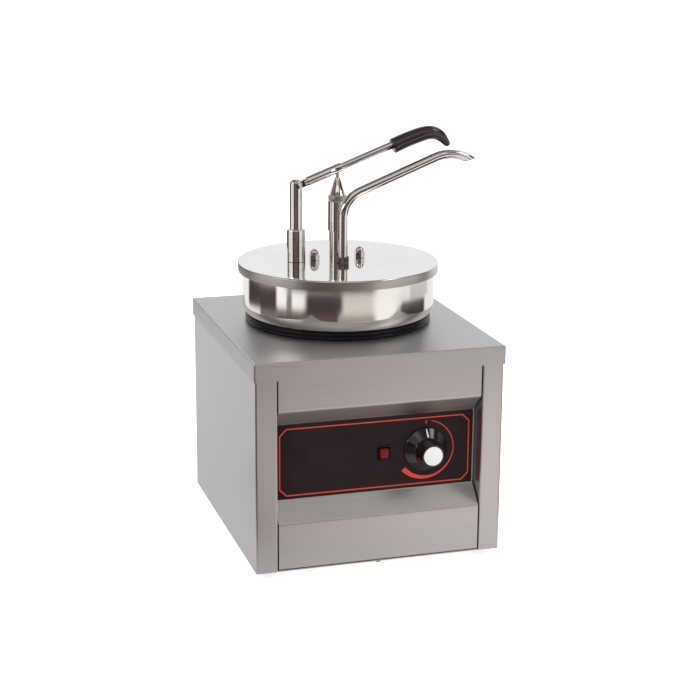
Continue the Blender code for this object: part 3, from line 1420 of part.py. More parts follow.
def plunger_rod():
    """The rod from the piston to the eye that the cross pin goes through."""
    end = PISTON_BOTTOM - GAP - PISTON_NUT_HEIGHT - ROD_END_BEYOND_NUT
    profile = [
        (0, CROSS_PIN_HEIGHT),
        (NECK_RADIUS, CROSS_PIN_HEIGHT),
        (NECK_RADIUS, ROD_SHOULDER),
        (ROD_RADIUS, ROD_SHOULDER),
        (ROD_RADIUS, PISTON_TOP + GAP),
        (ROD_END_RADIUS, PISTON_TOP + GAP),
        (ROD_END_RADIUS, end),
        (0, end),
    ]
    stem = turned("plunger_rod", profile, (0, PUMP_Y, 0))
    place = (0, PUMP_Y, CROSS_PIN_HEIGHT)
    join(stem, rod("rod_eye", EYE_RADIUS, -NECK_RADIUS, NECK_RADIUS, "Y", place))
    cut(stem, rod("eye_hole", CROSS_PIN_RADIUS + GAP, -OVERRUN, OVERRUN, "Y", place))
    keep(stem, "inner_steel", PLUNGER)


def cross_pin():
    """The pin that slides in the lever's slot."""
    place = (0, PUMP_Y, CROSS_PIN_HEIGHT)
    pin = rod("cross_pin", CROSS_PIN_RADIUS, -CROSS_PIN_HALF, CROSS_PIN_HALF, "Y", place)
    keep(pin, "dark_steel", PLUNGER)


def plunger_guide():
    """The pump tube above the lid, with a floor that the spring stands on."""
    bore = GUIDE_RADIUS - GUIDE_WALL
    rod_bore = ROD_RADIUS + RUNNING_GAP
    profile = [
        (bore, GUIDE_TOP),
        (GUIDE_RADIUS, GUIDE_TOP),
        (GUIDE_RADIUS, LID_UNDERSIDE),
        (rod_bore, LID_UNDERSIDE),
        (rod_bore, SPRING_SEAT),
        (bore, SPRING_SEAT),
    ]
    keep(turned("plunger_guide", profile, (0, PUMP_Y, 0), MEDIUM_STEPS), "tube_steel", LID)


def return_spring():
    """The coil spring between the guide's floor and the cap's ceiling."""
    bottom = SPRING_SEAT + GAP + SPRING_WIRE_RADIUS
    top = BAND_BOTTOM - GAP - SPRING_WIRE_RADIUS
    count = SPRING_TURNS * SPRING_POINTS_PER_TURN
    points = []
    for index in range(count + 1):
        angle = math.tau * index / SPRING_POINTS_PER_TURN
        height = bottom + (top - bottom) * index / count
        side = PUMP_Y + SPRING_RADIUS * math.sin(angle)
        points.append((SPRING_RADIUS * math.cos(angle), side, height))
    keep(tube("return_spring", points, SPRING_WIRE_RADIUS, rings=1), "inner_steel", PLUNGER)


def pump_cylinder():
    """The pump barrel, from the plate down into the valve body."""
    top = PUMP_PLATE_BOTTOM - GAP
    profile = [
        (BORE_RADIUS, top),
        (CYLINDER_RADIUS, top),
        (CYLINDER_RADIUS, CYLINDER_BOTTOM),
        (BORE_RADIUS, CYLINDER_BOTTOM),
    ]
    keep(turned("pump_cylinder", profile, (0, PUMP_Y, 0), MEDIUM_STEPS), "inner_steel", LID)


def piston():
    """The piston with a groove, its seal and the nut under it."""
    outside = BORE_RADIUS - PISTON_CLEARANCE
    groove = outside - SEAL_DEPTH
    middle = (PISTON_BOTTOM + PISTON_TOP) / 2
    bore = ROD_END_RADIUS + GAP
    seal_half = SEAL_HEIGHT / 2
    place = (0, PUMP_Y, 0)
    profile = [
        (bore, PISTON_TOP),
        (outside, PISTON_TOP),
        (outside, middle + seal_half + GAP),
        (groove, middle + seal_half + GAP),
        (groove, middle - seal_half - GAP),
        (outside, middle - seal_half - GAP),
        (outside, PISTON_BOTTOM),
        (bore, PISTON_BOTTOM),
    ]
    keep(turned("piston", profile, place), "seal_white", PLUNGER)
    seal_profile = [
        (groove + GAP, middle + seal_half),
        (BORE_RADIUS - GAP, middle + seal_half),
        (BORE_RADIUS - GAP, middle - seal_half),
        (groove + GAP, middle - seal_half),
    ]
    keep(turned("piston_seal", seal_profile, place), "black_rubber", PLUNGER)
    nut_top = PISTON_BOTTOM - GAP
    nut = hexagon("piston_nut", PISTON_NUT_FLATS, nut_top - PISTON_NUT_HEIGHT, nut_top, place)
    cut(nut, rod(
        "piston_nut_hole", ROD_END_RADIUS + GAP, nut_top - PISTON_NUT_HEIGHT - OVERRUN, nut_top + OVERRUN,
        at=place,
    ))
    keep(nut, "inner_steel", PLUNGER)


def valve_body():
    """The block at the foot of the pump: an inlet below, and a passage across to the riser."""
    across = SPOUT_SETBACK
    spread = math.degrees(math.acos((VALVE_RADIUS - VALVE_OUTLET_RADIUS) / across))
    outline = arc((0, PUMP_Y), VALVE_RADIUS, spread - 90, 270 - spread, 11)
    outline += arc((0, SPOUT_Y), VALVE_OUTLET_RADIUS, 270 - spread, 270 + spread, 5)
    block = slab("valve_body", outline, VALVE_BOTTOM, VALVE_TOP)
    socket = VALVE_TOP - CYLINDER_SOCKET
    floor = VALVE_BOTTOM + INLET_FLOOR
    high = VALVE_TOP + OVERRUN
    pump = (0, PUMP_Y, 0)
    outlet = (0, SPOUT_Y, 0)
    passage = VALVE_BOTTOM + PASSAGE_RISE
    cut(
        block,
        rod("valve_socket", CYLINDER_RADIUS + GAP, socket, high, at=pump, steps=MEDIUM_STEPS),
        rod("inlet_chamber", INLET_CHAMBER_RADIUS, floor, high, at=pump),
        rod("inlet_hole", INLET_HOLE_RADIUS, VALVE_BOTTOM - OVERRUN, high, at=pump),
        rod("riser_socket", SPOUT_RADIUS + GAP, OUTLET_SEAT, high, at=outlet),
        rod("outlet_hole", OUTLET_HOLE_RADIUS, passage - PASSAGE_RADIUS, high, at=outlet),
        rod("valve_passage", PASSAGE_RADIUS, SPOUT_Y, PUMP_Y, "Y", (0, 0, passage)),
    )
    keep(block, "inner_steel", LID)


def ball(name, radius, hole, seat, y):
    """A valve ball that lies on its seat's edge."""
    bm = bmesh.new()
    bmesh.ops.create_uvsphere(bm, u_segments=10, v_segments=6, radius=radius)
    sphere = shade(object_from(name, bm))
    sphere.location = (0, y, seat + math.sqrt(radius ** 2 - hole ** 2) + GAP)
    keep(sphere, "tube_steel", LID)


def valve_balls():
    """The inlet ball in its chamber and the outlet ball under the riser."""
    ball("inlet_ball", INLET_BALL_RADIUS, INLET_HOLE_RADIUS, VALVE_BOTTOM + INLET_FLOOR, PUMP_Y)
    ball("outlet_ball", OUTLET_BALL_RADIUS, OUTLET_HOLE_RADIUS, OUTLET_SEAT, SPOUT_Y)


def riser_tube():
    """The tube that carries the fudge up through the lid."""
    bore = SPOUT_RADIUS - SPOUT_WALL
    profile = [
        (bore, RISER_TOP),
        (SPOUT_RADIUS, RISER_TOP),
        (SPOUT_RADIUS, RISER_BOTTOM),
        (bore, RISER_BOTTOM),
    ]
    keep(turned("riser_tube", profile, (0, SPOUT_Y, 0)), "inner_steel", LID)


def spout_nut():
    """The knurled nut that joins the spout to the riser."""
    bottom = LID_TOP + GAP
    top = bottom + SPOUT_NUT_HEIGHT
    bore = SPOUT_RADIUS + GAP
    profile = [
        (bore, top),
        (SPOUT_NUT_RADIUS - GAP, top),
        (SPOUT_NUT_RADIUS, top - GAP),
        (SPOUT_NUT_RADIUS, bottom + GAP),
        (SPOUT_NUT_RADIUS - GAP, bottom),
        (bore, bottom),
    ]
    keep(turned("spout_nut", profile, (0, SPOUT_Y, 0)), "dark_steel", LID)


def bend(centre, radius, start, turn):
    """Points round a bend to the right, after its start; headings are measured from +X."""
    steps = round(turn / BEND_STEP)
    points = []
    for step in range(1, steps + 1):
        heading = start - turn * step / steps
        points.append((centre[0] - radius * math.sin(heading), centre[1] + radius * math.cos(heading)))
    return points


def end_bend_centre():
    """Centre of the bend at the spout's end, as (x, height)."""
    rise = LID_TOP + SPOUT_RISE
    x = SPOUT_BEND * (1 - math.sin(SPOUT_SLOPE)) + SPOUT_RUN * math.cos(SPOUT_SLOPE)
    height = rise + SPOUT_BEND * math.cos(SPOUT_SLOPE) + SPOUT_RUN * math.sin(SPOUT_SLOPE)
    return x + SPOUT_END_BEND * math.sin(SPOUT_SLOPE), height - SPOUT_END_BEND * math.cos(SPOUT_SLOPE)


def spout_lip():
    """The spout's furthest corner, where its end is cut off, as (x, height)."""
    x, height = end_bend_centre()
    lean = SPOUT_LIP_TURN - SPOUT_SLOPE
    reach = SPOUT_END_BEND + SPOUT_RADIUS
    return x + reach * math.sin(lean), height + reach * math.cos(lean)


def spout_path():
    """Centre line of the spout: up, over to a steady slope, and down at the lip."""
    rise = LID_TOP + SPOUT_RISE
    line = [(0, RISER_TOP + GAP), (0, rise)]
    line += bend((SPOUT_BEND, rise), SPOUT_BEND, math.pi / 2, math.pi / 2 - SPOUT_SLOPE)
    x, height = line[-1]
    line.append((x + SPOUT_RUN * math.cos(SPOUT_SLOPE), height + SPOUT_RUN * math.sin(SPOUT_SLOPE)))
    line += bend(end_bend_centre(), SPOUT_END_BEND, SPOUT_SLOPE, SPOUT_LIP_TURN + SPOUT_OVERTURN)
    return [(x, SPOUT_Y, height) for x, height in line]


def spout_tube():
    """The bent spout, hollow, with its lip cut off nearly level."""
    points = spout_path()
    spout = tube("spout_tube", points, SPOUT_RADIUS)
    first = points[0]
    beyond = [2 * a - b for a, b in zip(points[-1], points[-2])]
    inner_points = [(first[0], first[1], first[2] - OVERRUN)] + points[1:] + [beyond]
    inner = tube("spout_bore", inner_points, SPOUT_RADIUS - SPOUT_WALL, rings=2)
    size = 4 * SPOUT_RADIUS
    trim = box("spout_trim", (-size, -size / 2, -size), (size / 2, size / 2, 0))
    centre = trim.location.copy()
    x, height = spout_lip()
    tilt = SPOUT_CUT_TILT
    trim.rotation_euler = (0, -tilt, 0)
    trim.location = (
        x + centre.x * math.cos(tilt) - centre.z * math.sin(tilt),
        SPOUT_Y,
        height + centre.x * math.sin(tilt) + centre.z * math.cos(tilt),
    )
    cut(spout, inner, trim)
    keep(spout, "tube_steel", LID)


# The warmer

ROOT = empty("warmer", (0, 0, 0))
CABINET = empty("cabinet", (0, 0, 0), ROOT)
POT = empty("pot_lift", (0, POT_SETBACK, SHOULDER_FOOT), CABINET)
LID = empty("lid_lift", (0, POT_SETBACK, LID_UNDERSIDE), POT)
LEVER = empty("lever_swing", (-POST_REACH, PUMP_Y, PIVOT_HEIGHT), LID)
PLUNGER = empty("plunger_slide", (0, PUMP_Y, CROSS_PIN_HEIGHT), LID)
KNOB = empty("knob_turn", (KNOB_X, KNOB_BACK, CONTROL_HEIGHT), CABINET)
LEVER.rotation_euler = (0, -LEVER_REST, 0)

top_cover()
side_panel("side_panel_left", -1)
side_panel("side_panel_right", 1)
front_panel()
back_panel()
base_plate()
feet()
panel_screw()
water_well()
heating_element()
element_clamp()
seat_ring()
control_plate()
pilot_lamp()
thermostat()
sensor()
terminal_block()
cable_gland()
pot()
lid()
pump_plate()
cap_nuts()
post_sleeve()
lever_post()
pivot_pin()
lever_rod()
lever_sleeve()
handle_grip()
grip_pin()
plunger_cap()
plunger_rod()
cross_pin()
plunger_guide()
return_spring()
pump_cylinder()
piston()
valve_body()
valve_balls()
riser_tube()
spout_nut()
spout_tube()
knob()

# The origin goes to the counter, under the middle of the warmer's box
FRONT_REACH = KNOB_FACE - KNOB_CAP_THICKNESS / 2
BACK_REACH = SKIN_Y + GAP + GLAND_FLANGE + GLAND_DOME
ROOT.location = (
    (COVER_WIDTH / 2 - spout_lip()[0]) / 2,
    -(FRONT_REACH + BACK_REACH) / 2,
    FOOT_HEIGHT,
)
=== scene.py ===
"""Looks of the hot fudge topping warmer.

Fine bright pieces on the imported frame, their finishes, and the studio that they mirror.
"""

import math

import bmesh
import bpy
from mathutils import Matrix, Vector


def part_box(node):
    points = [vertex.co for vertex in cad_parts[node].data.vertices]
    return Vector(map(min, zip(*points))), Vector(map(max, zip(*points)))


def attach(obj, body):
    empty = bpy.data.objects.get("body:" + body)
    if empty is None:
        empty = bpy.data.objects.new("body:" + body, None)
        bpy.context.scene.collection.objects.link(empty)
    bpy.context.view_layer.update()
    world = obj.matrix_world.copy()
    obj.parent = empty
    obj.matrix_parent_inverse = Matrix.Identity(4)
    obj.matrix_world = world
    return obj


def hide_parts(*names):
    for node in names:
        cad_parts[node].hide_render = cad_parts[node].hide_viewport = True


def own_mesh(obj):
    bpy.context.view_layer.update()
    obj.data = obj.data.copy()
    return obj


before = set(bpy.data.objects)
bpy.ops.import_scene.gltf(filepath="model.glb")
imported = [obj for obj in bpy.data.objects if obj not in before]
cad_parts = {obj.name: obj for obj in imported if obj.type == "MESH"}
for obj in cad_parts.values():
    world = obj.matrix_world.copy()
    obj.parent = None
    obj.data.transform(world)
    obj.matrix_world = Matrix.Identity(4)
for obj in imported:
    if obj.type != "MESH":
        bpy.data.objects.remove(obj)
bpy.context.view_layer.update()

MM = 0.001
SEAT_GAP = 0.3 * MM
CREASE = math.radians(35)

# Sides of the turned pieces
LID_ROUND = 192
ROUND = 128
POST_ROUND = 96
FOOT_ROUND = 64
TUBE_ROUND = 48

# Places taken from the frame
POT_LOW, POT_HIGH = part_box("pot")
AXIS = Vector(((POT_LOW.x + POT_HIGH.x) / 2, (POT_LOW.y + POT_HIGH.y) / 2, 0))
RIM = POT_HIGH.z
POT_FOOT = POT_LOW.z
GUIDE_LOW, GUIDE_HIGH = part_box("plunger_guide")
PUMP = Vector(((GUIDE_LOW.x + GUIDE_HIGH.x) / 2, (GUIDE_LOW.y + GUIDE_HIGH.y) / 2, 0))
COVER_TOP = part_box("top_cover")[1].z
LID_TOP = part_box("lid")[1].z
PLATE_LOW, PLATE_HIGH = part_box("control_plate")
PLATE_FACE = PLATE_LOW.y
KNOB_LOW, KNOB_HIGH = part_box("knob")
KNOB_AT = Vector(((KNOB_LOW.x + KNOB_HIGH.x) / 2, KNOB_HIGH.y, (KNOB_LOW.z + KNOB_HIGH.z) / 2))

# Pot, ring and lid
POT_RADIUS = 103.3 * MM
POT_WALL = 1.1 * MM
SHOULDER = 20 * MM
SHOULDER_FOOT = COVER_TOP + 2.03 * MM
SHOULDER_CENTRE = POT_RADIUS - SHOULDER
RIM_FLARE = 2.5 * MM
RIM_BAND = 4.5 * MM
INSERT_RADIUS = 92 * MM
INSERT_CORNER = 6 * MM
RING_RADIUS = 99.9 * MM
RING_HEIGHT = 7.7 * MM
RING_FOOT = COVER_TOP + SEAT_GAP
RING_BORE = 93.2 * MM
RING_LIP = 94.7 * MM
LID_RADIUS = 107.4 * MM
LID_SKIRT = 10 * MM
LID_SHEET = 0.9 * MM
LID_EDGE = 1.6 * MM
NUT_SPACING = 25.4 * MM
NUT_FLATS = 10 * MM
NUT_HEIGHT = 6.2 * MM
DOME_RADIUS = 4.7 * MM

# Post and lever
POST_REACH = 45.4 * MM
PIVOT_RISE = 80.6 * MM
PIVOT = Vector((PUMP.x - POST_REACH, PUMP.y, LID_TOP + PIVOT_RISE))
PIVOT_HOLE = 2.3 * MM
LEVER_REST = math.radians(20.7)
SLEEVE_RADIUS = 9.9 * MM
SLEEVE_HEIGHT = 34.6 * MM
SLEEVE_LINE = 8.6 * MM
POST_RADIUS = 6.8 * MM
POST_HEAD = 6.5 * MM
POST_HEAD_ROUND = 3.2 * MM
SPIGOT_RADIUS = 4 * MM
TANG_HALF = 3.2 * MM
TANG_RADIUS = 4.4 * MM
TANG_TURN = 54.9
TANG_RISE = 3.6 * MM
TANG_END = 12.6 * MM
LEVER_RADIUS = 4 * MM
LEVER_START = 9.6 * MM
LEVER_END = 138 * MM
BUSH_RADIUS = 5 * MM
BUSH_BORE = 4.3 * MM
BUSH_START = 12.9 * MM
BUSH_END = 53.2 * MM
SLOT_HALF = 2 * MM
SLOT_START = 42.1 * MM
SLOT_END = 50.6 * MM
NECK_LOW = (39.8 * MM, -2.3 * MM, -9 * MM)
NECK_HIGH = (52.9 * MM, 2.3 * MM, 3.3 * MM)
GRIP_START = 113.2 * MM
GRIP_LENGTH = 58.4 * MM
GRIP_FALL = 23.2 * MM
GRIP_RADIUS = 8.3 * MM
GRIP_PIN_AT = (123.1 * MM, 0, -2 * MM)
GRIP_PIN_RADIUS = 1.8 * MM

# Plunger
CROSS_PIN = LID_TOP + 97.755 * MM
CONE_TIP = CROSS_PIN - 10.1 * MM
BAND_TOP = CONE_TIP - 18 * MM
BAND_FOOT = BAND_TOP - 6.5 * MM
CAP_FOOT = BAND_FOOT - 32.2 * MM
GUIDE_TOP = GUIDE_HIGH.z
SPRING_WIRE = 0.7 * MM
SPRING_TURNS = 7
COIL_STEPS = 18

# Spout
SPOUT_Y = PUMP.y - 22 * MM
SPOUT_RADIUS = 5 * MM
SPOUT_WALL = 1 * MM
SPOUT_SLOPE = math.radians(21.5)
SPOUT_START = LID_TOP + 2.9 * MM
SPOUT_RISE = LID_TOP + 48.2 * MM
SPOUT_BEND = 30 * MM
SPOUT_RUN = 88.8 * MM
SPOUT_END_BEND = 45 * MM
SPOUT_LIP_TURN = math.radians(57.5)
LIP_SPARE = math.radians(6)
LIP_SLANT = math.radians(16.5)

# Studio
FLOOR_HALF = 12
ROOM_LIGHT = 0.75
CAMERA_FLOOR = 0.75

# Camera: turns in radians, place in metres, lens in millimetres
VIEW_TURN = -0.2995
VIEW_RISE = 0.2666
VIEW_ROLL = 0.0079
CAMERA_AT = (-0.5166, -1.6851, 0.6765)
CAMERA_LENS = 86.6
SENSOR_WIDTH = 36


# Making pieces

def added(name, data):
    """A new object in the scene."""
    piece = bpy.data.objects.new(name, data)
    bpy.context.scene.collection.objects.link(piece)
    return piece


def mesh_piece(name, bm):
    """An object from a bmesh, smooth but for its creases."""
    mesh = bpy.data.meshes.new(name)
    bm.to_mesh(mesh)
    bm.free()
    return smooth(added(name, mesh))


def smooth(piece):
    """Smooth shading with creases kept."""
    piece.data.shade_smooth()
    piece.data.set_sharp_from_angle(angle=CREASE)
    return piece


def settled(piece):
    """Bake a piece's modifiers or curve into its mesh."""
    bpy.context.view_layer.update()
    seen = piece.evaluated_get(bpy.context.evaluated_depsgraph_get())
    mesh = bpy.data.meshes.new_from_object(seen)
    name = piece.name
    place = piece.matrix_world.copy()
    bm = bmesh.new()
    bm.from_mesh(mesh)
    bmesh.ops.remove_doubles(bm, verts=bm.verts, dist=0.002 * MM)
    bm.to_mesh(mesh)
    bm.free()
    bpy.data.objects.remove(piece)
    made = added(name, mesh)
    mesh.name = name
    made.matrix_world = place
    return smooth(made)


def combined(piece, operation, *tools):
    """Cut, join or cross a piece with other shapes, and throw the shapes away."""
    for tool in tools:
        cutting = piece.modifiers.new(tool.name, "BOOLEAN")
        cutting.operation = operation
        cutting.solver = "EXACT"
        cutting.object = tool
    made = settled(piece)
    for tool in tools:
        bpy.data.objects.remove(tool)
    return made


def carved(piece, *tools):
    """Take shapes out of a piece."""
    return combined(piece, "DIFFERENCE", *tools)


def in_metres(rows):
    """(radius, height) rows that are written in millimetres."""
    return [(radius * MM, height * MM) for radius, height in rows]


def block(name, low, high):
    """A box between two corners."""
    bm = bmesh.new()
    bmesh.ops.create_cube(bm, size=1)
    size = Vector(high) - Vector(low)
    bmesh.ops.scale(bm, vec=size, verts=bm.verts)
    bmesh.ops.translate(bm, vec=(Vector(high) + Vector(low)) / 2, verts=bm.verts)
    return mesh_piece(name, bm)


def softened(piece, width, segments=3):
    """Round a piece's sharp edges."""
    rounding = piece.modifiers.new("edges", "BEVEL")
    rounding.width = width
    rounding.segments = segments
    rounding.limit_method = "ANGLE"
    rounding.harden_normals = True
    return piece


def turned(name, profile, at=(0, 0, 0), around=ROUND):
    """Turn (radius, height) points about an upright axis, outer side from top to bottom."""
    bm = bmesh.new()
    rings = []
    for radius, height in profile:
        if radius == 0:
            rings.append([bm.verts.new((0, 0, height))] * around)
            continue
        ring = []
        for index in range(around):
            angle = math.tau * index / around
            ring.append(bm.verts.new((radius * math.cos(angle), radius * math.sin(angle), height)))
        rings.append(ring)
    pairs = list(zip(rings, rings[1:]))
    if profile[0][0] > 0:
        pairs.append((rings[-1], rings[0]))
    for upper, lower in pairs:
        for index in range(around):
            after = (index + 1) % around
            corners = [upper[index], lower[index], lower[after], upper[after]]
            face = [vert for place, vert in enumerate(corners) if vert not in corners[:place]]
            if len(face) > 2:
                bm.faces.new(face)
    piece = mesh_piece(name, bm)
    piece.location = at
    return piece


def arc(centre, radius, start, end, segments=8):
    """Points along an arc between two angles in degrees."""
    points = []
    for index in range(segments + 1):
        angle = math.radians(start + (end - start) * index / segments)
        points.append((centre[0] + radius * math.cos(angle), centre[1] + radius * math.sin(angle)))
    return points


def bar(name, radius, points, shares=None, rings=10):
    """A round bar along a path; shares, where given, scale its radius."""
    curve = bpy.data.curves.new(name, "CURVE")
    curve.dimensions = "3D"
    curve.bevel_depth = radius
    curve.bevel_resolution = rings
    curve.use_fill_caps = True
    spline = curve.splines.new("POLY")
    spline.points.add(len(points) - 1)
    for index, place in enumerate(points):
        spline.points[index].co = (*place, 1)
        if shares:
            spline.points[index].radius = shares[index]
    return settled(added(name, curve))


def straight(name, radius, start, end, rings=10):
    """A round bar between two points."""
    return bar(name, radius, [start, end], rings=rings)


def plate_shape(name, outline, holes, face, depth):
    """A thin flat shape on the control plate, from (x, z) outlines, standing out towards -Y."""
    curve = bpy.data.curves.new(name, "CURVE")
    curve.dimensions = "2D"
    curve.fill_mode = "BOTH"
    curve.extrude = depth / 2
    for loop in (outline, *holes):
        spline = curve.splines.new("POLY")
        spline.points.add(len(loop) - 1)
        for index, (x, z) in enumerate(loop):
            spline.points[index].co = (x, z, 0, 1)
        spline.use_cyclic_u = True
    piece = added(name, curve)
    piece.rotation_euler = (math.pi / 2, 0, 0)
    piece.location = (0, face - depth / 2, 0)
    return settled(piece)


def smooth_through(rows, between):
    """Rows of numbers with smooth rows in between."""
    out = []
    last = len(rows) - 1
    for index in range(last):
        before = rows[max(index - 1, 0)]
        first = rows[index]
        second = rows[index + 1]
        after = rows[min(index + 2, last)]
        for step in range(between):
            t = step / between
            row = []
            for a, b, c, d in zip(before, first, second, after):
                value = 2 * b + (c - a) * t + (2 * a - 5 * b + 4 * c - d) * t * t
                row.append((value + (3 * b - a - 3 * c + d) * t ** 3) / 2)
            out.append(row)
    out.append(list(rows[-1]))
    return out


def placed(piece, matrix):
    """Move a piece's mesh by a matrix."""
    piece.data.transform(matrix @ piece.matrix_world)
    piece.matrix_world = Matrix.Identity(4)
    return piece


def keep(piece, material, slot, body, *nodes):
    """Dress a finished piece, hang it on its body and let it stand for its nodes; its slot is not used."""
    piece.data.materials.clear()
    piece.data.materials.append(FINISHES[material])
    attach(piece, body)
    if nodes:
        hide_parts(*nodes)


# Effects that several finishes share

def new_group(name, **inputs):
    """An empty node group and its two end nodes; an input without a value is a vector."""
    group = bpy.data.node_groups.new(name, "ShaderNodeTree")
    for label, value in inputs.items():
        kind = "NodeSocketVector" if value is None else "NodeSocketFloat"
        socket = group.interface.new_socket(label, in_out="INPUT", socket_type=kind)
        if value is not None:
            socket.default_value = value
    for label in ("Shade", "Roughness", "Height"):
        group.interface.new_socket(label, in_out="OUTPUT", socket_type="NodeSocketFloat")
    return group, group.nodes.new("NodeGroupInput"), group.nodes.new("NodeGroupOutput")


def closed(group, end, shade, roughness, height):
    """Hand out what a group makes."""
    for label, value in (("Shade", shade), ("Roughness", roughness), ("Height", height)):
        group.links.new(value, end.inputs[label])
    return group


def noise(tree, vector, scale, detail, roughness=0.5):
    """A noise node; scale is a number or a socket."""
    node = tree.nodes.new("ShaderNodeTexNoise")
    dial(node, Detail=detail, Roughness=roughness)
    tree.links.new(vector, node.inputs["Vector"])
    feed(tree, scale, node.inputs["Scale"])
    return node.outputs["Fac"]


def dial(node, **values):
    """Set a node's plain inputs."""
    for label, value in values.items():
        node.inputs[label.replace("_", " ")].default_value = value


def feed(tree, value, socket):
    """Link a socket, or set a plain value."""
    if isinstance(value, bpy.types.NodeSocket):
        tree.links.new(value, socket)
    else:
        socket.default_value = value


def reckon(tree, operation, a, b=0.0, c=0.0):
    """A math node."""
    node = tree.nodes.new("ShaderNodeMath")
    node.operation = operation
    for value, socket in zip((a, b, c), node.inputs):
        feed(tree, value, socket)
    return node.outputs[0]


def spread(tree, value, low, high, to_low=0.0, to_high=1.0):
    """Map a range onto another, held at its ends."""
    node = tree.nodes.new("ShaderNodeMapRange")
    for item, socket in zip((value, low, high, to_low, to_high), node.inputs):
        feed(tree, item, socket)
    return node.outputs[0]


def axes(tree, place):
    """The X, Y and Z of a place."""
    node = tree.nodes.new("ShaderNodeSeparateXYZ")
    tree.links.new(place, node.inputs[0])
    return node.outputs


def stretched(tree, vector, scale):
    """A mapping that stretches the pattern."""
    node = tree.nodes.new("ShaderNodeMapping")
    node.inputs["Scale"].default_value = scale
    tree.links.new(vector, node.inputs["Vector"])
    return node.outputs["Vector"]


def blend(tree, share, first, second):
    """A colour between two colours."""
    node = tree.nodes.new("ShaderNodeMix")
    node.data_type = "RGBA"
    feed(tree, share, node.inputs[0])
    feed(tree, first, node.inputs[6])
    feed(tree, second, node.inputs[7])
    return node.outputs[2]


def brushed_grain():
    """Fine lines of a brushed sheet, with slow streaks and handling clouds."""
    group, start, end = new_group("brushed_grain", Place=None, Lines=None, Roughness=0.3, Swing=0.12)
    place, lines = start.outputs["Place"], start.outputs["Lines"]
    fine = noise(group, lines, 1.0, 3, 0.6)
    streak = noise(group, lines, 0.12, 2)
    cloud = noise(group, place, 9.0, 3)
    both = reckon(group, "MULTIPLY_ADD", streak, 0.5, fine)
    mixed = reckon(group, "MULTIPLY_ADD", cloud, 0.5, both)
    shade = spread(group, mixed, 0.6, 1.4)
    shift = reckon(group, "SUBTRACT", mixed, 1.0)
    swing = reckon(group, "MULTIPLY_ADD", shift, start.outputs["Swing"], start.outputs["Roughness"])
    return closed(group, end, shade, swing, both)


def polish_haze():
    """A buffed surface: faint haze, wiping marks and fine dents."""
    group, start, end = new_group("polish_haze", Place=None, Roughness=0.06, Haze=0.06)
    place = start.outputs["Place"]
    cloud = noise(group, place, 14.0, 4)
    marks = noise(group, stretched(group, place, (60, 60, 900)), 1.0, 2)
    haze = reckon(group, "MULTIPLY", cloud, marks)
    rough = reckon(group, "MULTIPLY_ADD", haze, start.outputs["Haze"], start.outputs["Roughness"])
    return closed(group, end, spread(group, cloud, 0.3, 0.7), rough, cloud)


def moulded_skin():
    """The skin of moulded rubber or plastic: fine pips, dull and shiny patches."""
    group, start, end = new_group("moulded_skin", Place=None, Pips=1500.0, Roughness=0.4, Swing=0.2)
    place = start.outputs["Place"]
    pips = noise(group, place, start.outputs["Pips"], 2)
    patches = noise(group, place, 45.0, 4)
    shift = reckon(group, "SUBTRACT", patches, 0.5)
    rough = reckon(group, "MULTIPLY_ADD", shift, start.outputs["Swing"], start.outputs["Roughness"])
    return closed(group, end, spread(group, patches, 0.3, 0.7), rough, pips)


BRUSHED_GRAIN = brushed_grain()
POLISH_HAZE = polish_haze()
MOULDED_SKIN = moulded_skin()


# Finishes

def effect_from(tree, group, place):
    """An effect group in a material."""
    effect = tree.nodes.new("ShaderNodeGroup")
    effect.node_tree = group
    tree.links.new(place, effect.inputs["Place"])
    return effect


def new_finish(name, group, **plain):
    """A material with its shader, one effect group and the object's own coordinates."""
    material = bpy.data.materials.new(name)
    material.use_nodes = True
    tree = material.node_tree
    shader = tree.nodes["Principled BSDF"]
    dial(shader, **plain)
    place = tree.nodes.new("ShaderNodeTexCoord").outputs["Object"]
    return material, tree, shader, effect_from(tree, group, place), place


def wire_up(tree, shader, effect, dark, light, depth):
    """Colour between two tones, roughness and bump from an effect."""
    tone = blend(tree, effect.outputs["Shade"], (*dark, 1), (*light, 1))
    tree.links.new(tone, shader.inputs["Base Color"])
    tree.links.new(effect.outputs["Roughness"], shader.inputs["Roughness"])
    bump = tree.nodes.new("ShaderNodeBump")
    dial(bump, Distance=depth, Strength=1.0)
    tree.links.new(effect.outputs["Height"], bump.inputs["Height"])
    tree.links.new(bump.outputs["Normal"], shader.inputs["Normal"])


def brushed(name, dark, light, lines, roughness, swing, depth):
    """Brushed stainless sheet, its lines along one axis."""
    material, tree, shader, effect, place = new_finish(name, BRUSHED_GRAIN, Metallic=1.0)
    dial(effect, Roughness=roughness, Swing=swing)
    tree.links.new(stretched(tree, place, lines), effect.inputs["Lines"])
    wire_up(tree, shader, effect, dark, light, depth)
    return material


def polished(name, dark, light, roughness, haze, depth):
    """Buffed bright metal."""
    material, tree, shader, effect, place = new_finish(name, POLISH_HAZE, Metallic=1.0)
    dial(effect, Roughness=roughness, Haze=haze)
    wire_up(tree, shader, effect, dark, light, depth)
    return material


def moulded(name, dark, light, roughness, swing, pips, depth, **plain):
    """Moulded rubber, plastic, paint or ceramic."""
    material, tree, shader, effect, place = new_finish(name, MOULDED_SKIN, **plain)
    dial(effect, Roughness=roughness, Swing=swing, Pips=pips)
    wire_up(tree, shader, effect, dark, light, depth)
    return material


